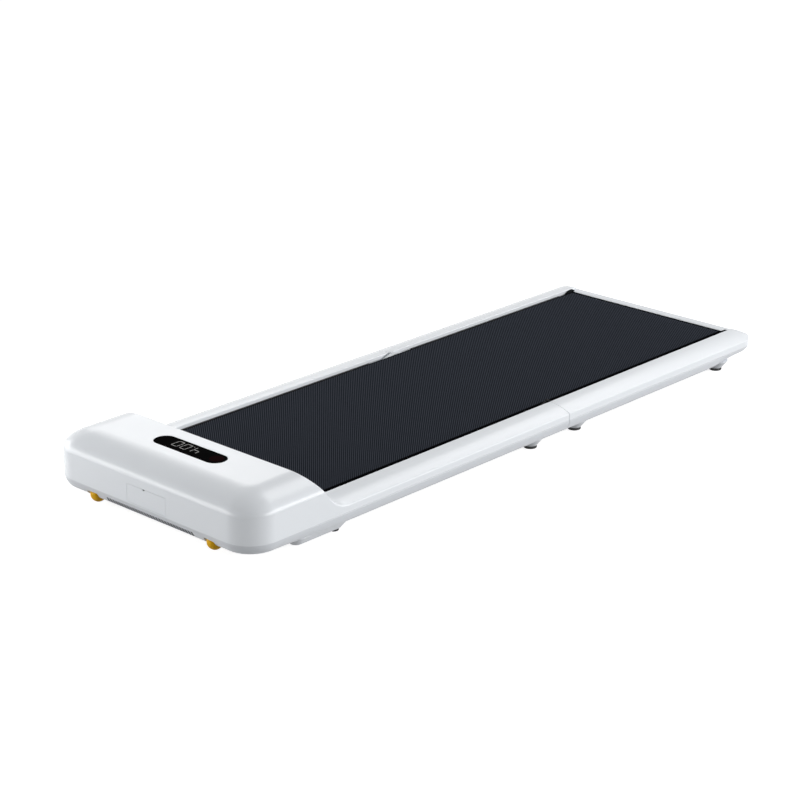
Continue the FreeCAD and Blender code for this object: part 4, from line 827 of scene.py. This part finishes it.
def make_lens(material):
    """Smoked window with a rounded edge."""
    sheet = Sheet()
    rings = []
    for inset, z in LENS_EDGE:
        outline = stadium(LENS_X, 0, LENS_RUN, LENS_RADIUS - inset, True)
        rings.append(at_height(outline + outline[:1], z))
    sheet.grid(rings)
    sheet.face(rings[-1][:-1])
    piece("display_window", sheet, material, "front", ["display_lens"])


def make_digits(glow):
    """Lit digits and their point, on the lens."""
    digits = Sheet()
    for sign, place in DIGIT_PLACES:
        for letter in DIGIT_BARS[sign]:
            across, down = SEGMENTS[letter]
            x = DIGIT_X + down * DIGIT_HALF_HEIGHT
            y = place + across * DIGIT_HALF_WIDTH
            digits.face(segment(x, y, across == 0))
    digits.face(at_height(bend(*DIGIT_POINT, POINT_RADIUS, 0, 330, 11), DIGIT_LEVEL))
    piece("display_digits", digits, glow, "front")


def make_sensor(red):
    """Dark red sensor window at the lens's left end."""
    sensor = Sheet()
    sensor.face(at_height(bend(*SENSOR_PLACE, SENSOR_RADIUS, 0, 355, 71), SENSOR_LEVEL))
    piece("sensor_window", sensor, red, "front")


def segment(x, y, across):
    """Six-sided bar of a digit, with pointed ends."""
    half = DIGIT_STROKE / 2
    run = (DIGIT_HALF_WIDTH if across else DIGIT_HALF_HEIGHT / 2) - DIGIT_GAP
    outline = [(-run, 0), (half - run, -half), (run - half, -half), (run, 0), (run - half, half),
               (half - run, half)]
    spots = [(x + v, y + u) if across else (x + u, y + v) for u, v in outline]
    return at_height(spots, DIGIT_LEVEL)


def make_pods(material):
    """Long flared pods under the back of the head. Returns their rubber pads."""
    sheet = Sheet()
    pads = Sheet()
    height = UNDERSIDE - FOOT_HEIGHT
    stretch = POD_HALVES[0] - POD_RADII[0]
    growth = (POD_HALVES[1] - POD_RADII[1] - stretch) / height
    for way in (-1, 1):
        rings = []
        for radius, z in cup_profile(*POD_RADII):
            half_run = stretch + growth * min(max(0.0, z - FOOT_HEIGHT), height)
            outline = stadium(POD_X, way * POD_OFFSET, half_run, radius, False)
            rings.append(at_height(outline + outline[:1], z))
        sheet.grid(rings)
        sheet.face(rings[0][:-1])
        sheet.face(rings[-1][:-1])
        foot(pads, POD_FOOT_X, way * POD_OFFSET, POD_FOOT_RADIUS)
    piece("pod_mouldings", sheet, material, "front", ["foot_pods"])
    return pads


def foot(sheet, x, y, radius):
    """Rubber pad with a rounded edge and two grooves in its sole."""
    profile = [(0.0, 0.0)]
    for start in (0.3, 0.62):
        for share, depth in ((0.0, 0.0), (0.04, 0.6), (0.12, 0.6), (0.16, 0.0)):
            profile.append((radius * (start + share), depth))
    profile += [(radius - 1.2, 0.0), (radius - 0.5, 0.3), (radius, 1.2), (radius, FOOT_HEIGHT - 0.8),
                (radius - 0.4, FOOT_HEIGHT)]
    lathe(sheet, profile, (x, y, 0))


def cup_profile(low, top):
    """Radii and heights up a cone, from the rubber to a shoulder that dips into the tray."""
    return [(low - 2.5, FOOT_HEIGHT - 0.6), (low - 0.9, FOOT_HEIGHT - 0.5), (low - 0.2, FOOT_HEIGHT - 0.1),
            (low, FOOT_HEIGHT + 0.4), (top, UNDERSIDE), (top + 0.4, UNDERSIDE + 0.8), (top, UNDERSIDE + 1.8),
            (top - 2.0, UNDERSIDE + 3.0), (top - 8.0, UNDERSIDE + 5.0)]


def cup(sheet, x, y):
    """Conical cup that carries a foot."""
    profile = cup_profile(*CUP_RADII)
    lathe(sheet, [(0.0, profile[0][1])] + profile + [(0.0, profile[-1][1])], (x, y, 0))


def make_feet(material, rubber):
    """Cups and rubber pads along both halves."""
    pods = make_pods(material)
    for half, places, pads in (("front", FRONT_CUPS, pods), ("rear", REAR_CUPS, Sheet())):
        cups = Sheet()
        for x in places:
            for way in (-1, 1):
                cup(cups, x, way * FOOT_OFFSET)
                foot(pads, x, way * FOOT_OFFSET, FOOT_RADIUS)
        piece(f"{half}_cups", cups, material, half, [f"{half}_foot_cups"])
        piece(f"{half}_pads", pads, rubber, half, [f"{half}_feet"])


def make_wheels(tyre):
    """Rounded transport wheels with a moulded hub."""
    line = [(radius, WHEEL_HALF - depth) for radius, depth in HUB_FACE]
    line += bend(WHEEL_RADIUS - WHEEL_ROUND, WHEEL_HALF - WHEEL_ROUND, WHEEL_ROUND, 90, 0, 10)
    profile = [(radius, -along) for radius, along in line] + line[::-1]
    for side, way in (("left", -1), ("right", 1)):
        sheet = Sheet()
        lathe(sheet, profile, (WHEEL_X, way * WHEEL_OFFSET, WHEEL_HEIGHT), "y", 64)
        piece(f"{side}_tyre", sheet, tyre, f"{side}_wheel", [f"{side}_wheel"])


def make_flap(material):
    """Hinged flap over the power bay, with a finger notch in its upper edge."""
    outline = [(-FLAP_HALF, FLAP_LOW), (FLAP_HALF, FLAP_LOW), (FLAP_HALF, FLAP_HIGH)]
    steps = 8
    for step in range(steps + 1):
        angle = math.pi * step / steps
        outline.append((NOTCH_Y + NOTCH_HALF * math.cos(angle), FLAP_HIGH - NOTCH_DEPTH * math.sin(angle)))
    outline.append((-FLAP_HALF, FLAP_HIGH))
    front = NOSE + SHELL_INSET
    sheet = Sheet()
    sheet.prism(*[[(x, y, z) for y, z in outline] for x in (front, FLAP_BACK)])

    def on_face(x, y, z):
        return x < front + ON_EDGE

    piece("flap_skin", sheet, material, "power_flap", ["power_flap"], ((on_face, FLAP_ROUND, 2),))


def make_guards(material):
    """Black corner guards beside the belt's rear end, rising to the rail's edge."""
    sheet = Sheet()
    for way in (-1, 1):
        sheet.prism(*[[(NOSE + x, way * y, z) for x, z in GUARD_SECTION] for y in GUARD_SIDES])

    def on_top(x, y, z):
        return z > GUARD_ROUND_FROM

    piece("guard_caps", sheet, material, "rear", ["corner_guards"], ((on_top, GUARD_ROUND, 2),))


def make_gap_shade(material):
    """Black strip under the tail's lip, in the gap behind the belt, as painted shade in that gap."""
    sheet = Sheet()
    sheet.prism(*[[(NOSE + x, way * GAP_SHADE_HALF, z) for x, z in GAP_SHADE_SECTION] for way in (-1, 1)])

    def anywhere(x, y, z):
        return True

    gap_shade = piece("gap_shade_strip", sheet, material, "rear", rounds=((anywhere, GAP_SHADE_ROUND, 2),))


def belt_loop():
    """Spots round the belt's outer face, each with its outward direction, dense across the fold."""
    path = []
    fine = FOLD_REACH + 2
    for start, end, count in ((BELT_FRONT, SEAM - fine, 12), (SEAM - fine, SEAM + fine, 42),
                              (SEAM + fine, BELT_REAR, 12)):
        path += [start + (end - start) * step / count for step in range(count)]
    top = [(x, ROLLER_Z + BELT_RADIUS, 0, 1) for x in path]
    around = 18
    rear = []
    front = []
    for step in range(around + 1):
        angle = math.pi / 2 - math.pi * step / around
        u, w = math.cos(angle), math.sin(angle)
        rear.append((BELT_REAR + BELT_RADIUS * u, ROLLER_Z + BELT_RADIUS * w, u, w))
        front.append((BELT_FRONT - BELT_RADIUS * u, ROLLER_Z - BELT_RADIUS * w, -u, -w))
    bottom = [(x, ROLLER_Z - BELT_RADIUS, 0, -1) for x in reversed(path[1:])]
    return top + rear + bottom + front[:-1]


def make_belt(material):
    """Endless walking belt whose outer face carries the tread, with its faces dense across the fold."""
    loop = belt_loop()
    lanes = [-BELT_HALF + 2 * BELT_HALF * step / BELT_LANES for step in range(BELT_LANES + 1)]
    form = bmesh.new()
    layer = form.loops.layers.uv.new("belt")
    outer, inner, lengths = [], [], [0.0]
    for index, (x, z, u, w) in enumerate(loop):
        low_x, low_z = x - BELT_THICKNESS * u, z - BELT_THICKNESS * w
        outer.append([form.verts.new(Vector((x, y, z)) * MM) for y in lanes])
        inner.append([form.verts.new(Vector((low_x, y, low_z)) * MM) for y in lanes])
        following = loop[(index + 1) % len(loop)]
        lengths.append(lengths[-1] + math.hypot(following[0] - x, following[1] - z))

    def quad(corners, marks):
        face = form.faces.new(corners)
        for corner, mark in zip(face.loops, marks):
            corner[layer].uv = mark

    for index in range(len(loop)):
        after = (index + 1) % len(loop)
        near, far = outer[index], outer[after]
        near_low, far_low = inner[index], inner[after]
        low, high = lengths[index] * MM, lengths[index + 1] * MM
        for lane in range(len(lanes) - 1):
            left, right = lanes[lane] * MM, lanes[lane + 1] * MM
            marks = [(low, left), (high, left), (high, right), (low, right)]
            quad([near[lane], far[lane], far[lane + 1], near[lane + 1]], marks)
            quad([near_low[lane], near_low[lane + 1], far_low[lane + 1], far_low[lane]],
                 [marks[0], marks[3], marks[2], marks[1]])
        for lane in (0, len(lanes) - 1):
            edge = lanes[lane] * MM
            quad([near[lane], near_low[lane], far_low[lane], far[lane]],
                 [(low, edge), (low, edge), (high, edge), (high, edge)])
    bmesh.ops.recalc_face_normals(form, faces=form.faces)
    belt = finish_mesh("belt_skin", form)
    belt.modifiers.clear()
    belt.data.materials.append(material)
    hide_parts("walking_belt")
    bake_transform(belt)


def new_material(name):
    """Empty node material with its shader."""
    material = bpy.data.materials.new(name)
    material.use_nodes = True
    tree, links = material.node_tree.nodes, material.node_tree.links
    return material, tree, links, tree["Principled BSDF"]


def calculated(tree, links, operation, *values):
    """Result of an operation on values, each a number or a socket."""
    node = tree.new("ShaderNodeMath")
    node.operation = operation
    for socket, value in zip(node.inputs, values):
        if isinstance(value, float):
            socket.default_value = value
        else:
            links.new(value, socket)
    return node.outputs["Value"]


def rescaled(tree, links, value, source, target=(0.0, 1.0)):
    """Value taken from one range to another."""
    node = tree.new("ShaderNodeMapRange")
    node.inputs["From Min"].default_value, node.inputs["From Max"].default_value = source
    node.inputs["To Min"].default_value, node.inputs["To Max"].default_value = target
    links.new(value, node.inputs["Value"])
    return node.outputs["Result"]


def noise(tree, links, scale, target, detail=3.0):
    """Noise over the object's own coordinates, spread over a range if one is given."""
    place = tree.new("ShaderNodeTexCoord")
    texture = tree.new("ShaderNodeTexNoise")
    texture.inputs["Scale"].default_value = scale
    texture.inputs["Detail"].default_value = detail
    links.new(place.outputs["Object"], texture.inputs["Vector"])
    if target is None:
        return texture.outputs["Fac"]
    return rescaled(tree, links, texture.outputs["Fac"], NOISE_RANGE, target)


def tint(tree, links, factor, first, second):
    """Mix of two colours, each given as numbers or as a socket."""
    mix = tree.new("ShaderNodeMix")
    mix.data_type = "RGBA"
    for name, colour in (("A", first), ("B", second)):
        if isinstance(colour, tuple):
            mix.inputs[name].default_value = (*colour, 1)
        else:
            links.new(colour, mix.inputs[name])
    links.new(factor, mix.inputs["Factor"])
    return mix.outputs["Result"]


def raise_grain(tree, links, shader, height, strength, distance):
    """Bump from a height value, its distance in millimetres."""
    bump = tree.new("ShaderNodeBump")
    bump.inputs["Strength"].default_value = strength
    bump.inputs["Distance"].default_value = distance * MM
    links.new(height, bump.inputs["Height"])
    links.new(bump.outputs["Normal"], shader.inputs["Normal"])


def surface(name, colour, rough, grain, depth, vary, metallic=0.0, specular=0.5, patchy=0.05):
    """Moulded, painted or turned surface: uneven colour and gloss with a fine grain."""
    material, tree, links, shader = new_material(name)
    patches = noise(tree, links, PATCH_SCALE, (0.0, 1.0))
    darker = tuple(part * (1 - vary) for part in colour)
    lighter = tuple(min(1.0, part * (1 + vary)) for part in colour)
    links.new(tint(tree, links, patches, darker, lighter), shader.inputs["Base Color"])
    gloss = noise(tree, links, GLOSS_SCALE, (rough - patchy, rough + patchy))
    links.new(gloss, shader.inputs["Roughness"])
    raise_grain(tree, links, shader, noise(tree, links, grain, None, 2.0), GRAIN_STRENGTH, depth)
    shader.inputs["Metallic"].default_value = metallic
    shader.inputs["Specular IOR Level"].default_value = specular
    return material


def belt_material():
    """Dark rubber with a fine diamond tread of two families of ribs, one of them lower, painted dark in the
    grooves and light on the rib tops as shade and light, inside dark edge bands.
    """
    material, tree, links, shader = new_material("belt tread")
    place = tree.new("ShaderNodeUVMap")
    place.uv_map = "belt"
    split = tree.new("ShaderNodeSeparateXYZ")
    links.new(place.outputs["UV"], split.inputs["Vector"])
    along, across = split.outputs["X"], split.outputs["Y"]
    turns = 2 * math.pi / (TREAD_PITCH * MM * math.sqrt(2))
    ribs = []
    for operation in ("ADD", "SUBTRACT"):
        slanted = calculated(tree, links, operation, along, across)
        phase = calculated(tree, links, "MULTIPLY", slanted, turns)
        ribs.append(calculated(tree, links, "SINE", phase))
    lower = calculated(tree, links, "SUBTRACT", ribs[0], TREAD_LOWERED)
    ridge = calculated(tree, links, "MAXIMUM", lower, ribs[1])
    height = rescaled(tree, links, ridge, (TREAD_FLOOR, 1.0))
    # Painted shade and light: the colour runs from dark in the grooves to light on the rib tops.
    tread = tint(tree, links, height, GROOVE_SHADE_COLOUR, RIB_LIGHT_COLOUR)
    # Painted shadow: the dark edge bands are shifted to the left, widening the left one where the rail's
    # shadow falls on the belt.
    toward_shadow = calculated(tree, links, "SUBTRACT", across, SHADOW_SHIFT * MM)
    from_middle = calculated(tree, links, "ABSOLUTE", toward_shadow)
    edge = BELT_HALF - EDGE_AND_SHADOW_WIDTH
    edge_and_shadow = rescaled(tree, links, from_middle, ((edge - 0.5) * MM, (edge + 0.5) * MM))
    links.new(tint(tree, links, edge_and_shadow, tread, EDGE_AND_SHADOW_COLOUR), shader.inputs["Base Color"])
    links.new(noise(tree, links, 30.0, BELT_GLOSS), shader.inputs["Roughness"])
    shader.inputs["Specular IOR Level"].default_value = 0.0
    raise_grain(tree, links, shader, height, 0.35, TREAD_DEPTH)
    return material


def hinge_material():
    """Coated hinge leaves: black on the left rail, white on the right one."""
    material, tree, links, shader = new_material("coated hinge")
    place = tree.new("ShaderNodeTexCoord")
    split = tree.new("ShaderNodeSeparateXYZ")
    links.new(place.outputs["Object"], split.inputs["Vector"])
    on_right = calculated(tree, links, "GREATER_THAN", split.outputs["Y"], 0.0)
    coat = tint(tree, links, on_right, HINGE_BLACK, HINGE_WHITE)
    links.new(coat, shader.inputs["Base Color"])
    links.new(noise(tree, links, 60.0, (0.5, 0.6)), shader.inputs["Roughness"])
    shader.inputs["Specular IOR Level"].default_value = 0.1
    raise_grain(tree, links, shader, noise(tree, links, 500.0, None, 2.0), 0.2, 0.02)
    return material


def glow_material():
    """Lit digits, a little uneven along each bar."""
    material, tree, links, shader = new_material("lit digits")
    shader.inputs["Base Color"].default_value = (0.1, 0.1, 0.1, 1)
    shader.inputs["Roughness"].default_value = 0.5
    shader.inputs["Emission Color"].default_value = DIGIT_LIGHT
    links.new(noise(tree, links, 260.0, DIGIT_GLOW), shader.inputs["Emission Strength"])
    return material


def make_camera():
    """Camera where the photograph was taken from."""
    data = bpy.data.cameras.new("camera")
    data.lens = CAMERA_LENS
    data.sensor_width = CAMERA_SENSOR
    data.clip_end = CAMERA_REACH
    camera = place_in_scene("camera", data)
    tilt, turn = math.radians(CAMERA_TILT), math.radians(CAMERA_TURN)
    ahead = Vector((math.sin(turn) * math.cos(tilt), math.cos(turn) * math.cos(tilt), -math.sin(tilt)))
    camera.location = CAMERA_PLACE
    camera.rotation_mode = "QUATERNION"
    camera.rotation_quaternion = ahead.to_track_quat("-Z", "Y")
    bpy.context.scene.camera = camera


def shown_directly(tree, links):
    """1 for what the camera sees, straight or in a reflection or through glass."""
    path = tree.new("ShaderNodeLightPath").outputs
    seen = calculated(tree, links, "MAXIMUM", path["Is Camera Ray"], path["Is Glossy Ray"])
    return calculated(tree, links, "MAXIMUM", seen, path["Is Transmission Ray"])


def make_world():
    """White surroundings that light the object softly."""
    world = bpy.data.worlds.new("studio")
    bpy.context.scene.world = world
    world.use_nodes = True
    tree, links = world.node_tree.nodes, world.node_tree.links
    background = tree["Background"]
    background.inputs["Color"].default_value = (1, 1, 1, 1)
    level = rescaled(tree, links, shown_directly(tree, links), (0.0, 1.0), (AMBIENT, 1.0))
    links.new(level, background.inputs["Strength"])


def make_floor():
    """Pale floor that keeps the object's shadow."""
    material, tree, links, shader = new_material("pale floor")
    shader.inputs["Base Color"].default_value = (FLOOR_GREY, FLOOR_GREY, FLOOR_GREY, 1)
    shader.inputs["Roughness"].default_value = 0.9
    shader.inputs["Specular IOR Level"].default_value = 0.0
    shader.inputs["Emission Color"].default_value = (1, 1, 1, 1)
    glow = calculated(tree, links, "MULTIPLY", shown_directly(tree, links), FLOOR_GLOW)
    links.new(glow, shader.inputs["Emission Strength"])
    mesh = bpy.data.meshes.new("floor")
    corners = [(x * FLOOR_REACH, y * FLOOR_REACH, 0) for x, y in ((-1, -1), (1, -1), (1, 1), (-1, 1))]
    mesh.from_pydata(corners, [], [(0, 1, 2, 3)])
    mesh.materials.append(material)
    floor = place_in_scene("floor", mesh)


def make_lamp(name, place, aim, size, power):
    """Soft box that faces a point."""
    data = bpy.data.lights.new(name, "AREA")
    data.shape = "RECTANGLE"
    data.size, data.size_y = size
    data.energy = power
    lamp = place_in_scene(name, data)
    lamp.location = place
    lamp.rotation_mode = "QUATERNION"
    lamp.rotation_quaternion = (Vector(aim) - Vector(place)).to_track_quat("-Z", "Y")


def make_materials():
    """Materials by the slot that they are for, and four more for single pieces."""
    coat = surface("black powder coat", (0.02, 0.02, 0.022), 0.5, 800.0, 0.06, 0.15)
    return {
        "white_shell": surface("white shell", (0.775, 0.805, 0.84), 0.26, 300.0, 0.0015, 0.004, patchy=0.01),
        # The tray's white is darker than the shell's, as painted shade on its downward bevel; the cups and
        # pods share it.
        "white_under": surface("white tray with painted shade", (0.61, 0.635, 0.67), 0.4, 300.0, 0.004, 0.008, patchy=0.02),
        "belt_rubber": belt_material(),
        "deck_board": surface("coated board", (0.010, 0.010, 0.011), 0.55, 260.0, 0.06, 0.2, specular=0.2),
        "frame_steel": coat,
        "motor_paint": coat,
        "bare_steel": surface("bare steel", (0.55, 0.56, 0.58), 0.32, 500.0, 0.02, 0.06, metallic=1.0),
        "black_rubber": surface("black rubber", (0.018, 0.018, 0.019), 0.7, 600.0, 0.08, 0.2),
        "black_plastic": surface("black moulding", (0.02, 0.02, 0.022), 0.45, 900.0, 0.05, 0.15),
        # Dull black for the wheel forks and corner guards, and for the vent comb and the strip under the
        # tail's lip, which are painted shade.
        "dark_trim_and_shade": surface("dull black for trim and shade", (0.006, 0.007, 0.008), 0.6, 700.0, 0.03, 0.15, specular=0.03),
        "hinge": hinge_material(),
        "dark_lens": surface("smoked window", (0.002, 0.002, 0.002), 0.3, 30.0, 0.002, 0.3, specular=0.0002),
        "wheel_orange": surface("orange wheel", (0.74, 0.395, 0.002), 0.45, 500.0, 0.04, 0.08, specular=0.18),
        "cast_aluminium": surface("cast aluminium", (0.72, 0.73, 0.74), 0.4, 350.0, 0.05, 0.06, metallic=1.0),
        "board_green": surface("circuit board", (0.02, 0.13, 0.055), 0.4, 300.0, 0.04, 0.2),
        "capacitor_sleeve": surface("capacitor sleeve", (0.03, 0.05, 0.12), 0.3, 200.0, 0.02, 0.1),
        "glow": glow_material(),
        "red": surface("sensor window", (0.009, 0.002, 0.0025), 0.25, 40.0, 0.002, 0.2, specular=0.0002),
        "pin_brass": surface("plated brass", (0.75, 0.6, 0.3), 0.3, 500.0, 0.02, 0.06, metallic=1.0),
    }


def dress_solids(materials):
    """Give every solid the material of its slot, but for the wheel forks and the hinges."""
    for entry in frame["record"]["subparts"]:
        node, name = entry["node"], entry["material_slot"]
        if node == "wheel_forks":
            name = "dark_trim_and_shade"
        elif "hinge" in node:
            name = "hinge"
        mesh = nodes[node].data
        mesh.materials.clear()
        mesh.materials.append(materials[name])


def build():
    """Put the whole scene together."""
    make_camera()
    make_world()
    make_floor()
    for lamp in LAMPS:
        make_lamp(*lamp)
    materials = make_materials()
    dress_solids(materials)
    make_hood(materials["white_shell"])
    make_front_shell(materials["white_shell"])
    make_rear_shell(materials["white_shell"])
    carve_vents(make_trays(materials["white_under"]))
    make_vent_shade(materials["dark_trim_and_shade"])
    make_belt(materials["belt_rubber"])
    make_lens(materials["dark_lens"])
    make_digits(materials["glow"])
    make_sensor(materials["red"])
    make_feet(materials["white_under"], materials["black_rubber"])
    make_wheels(materials["wheel_orange"])
    make_flap(materials["white_shell"])
    make_guards(materials["dark_trim_and_shade"])
    make_gap_shade(materials["dark_trim_and_shade"])


bpy.context.scene.view_settings.view_transform = "Standard"
build()
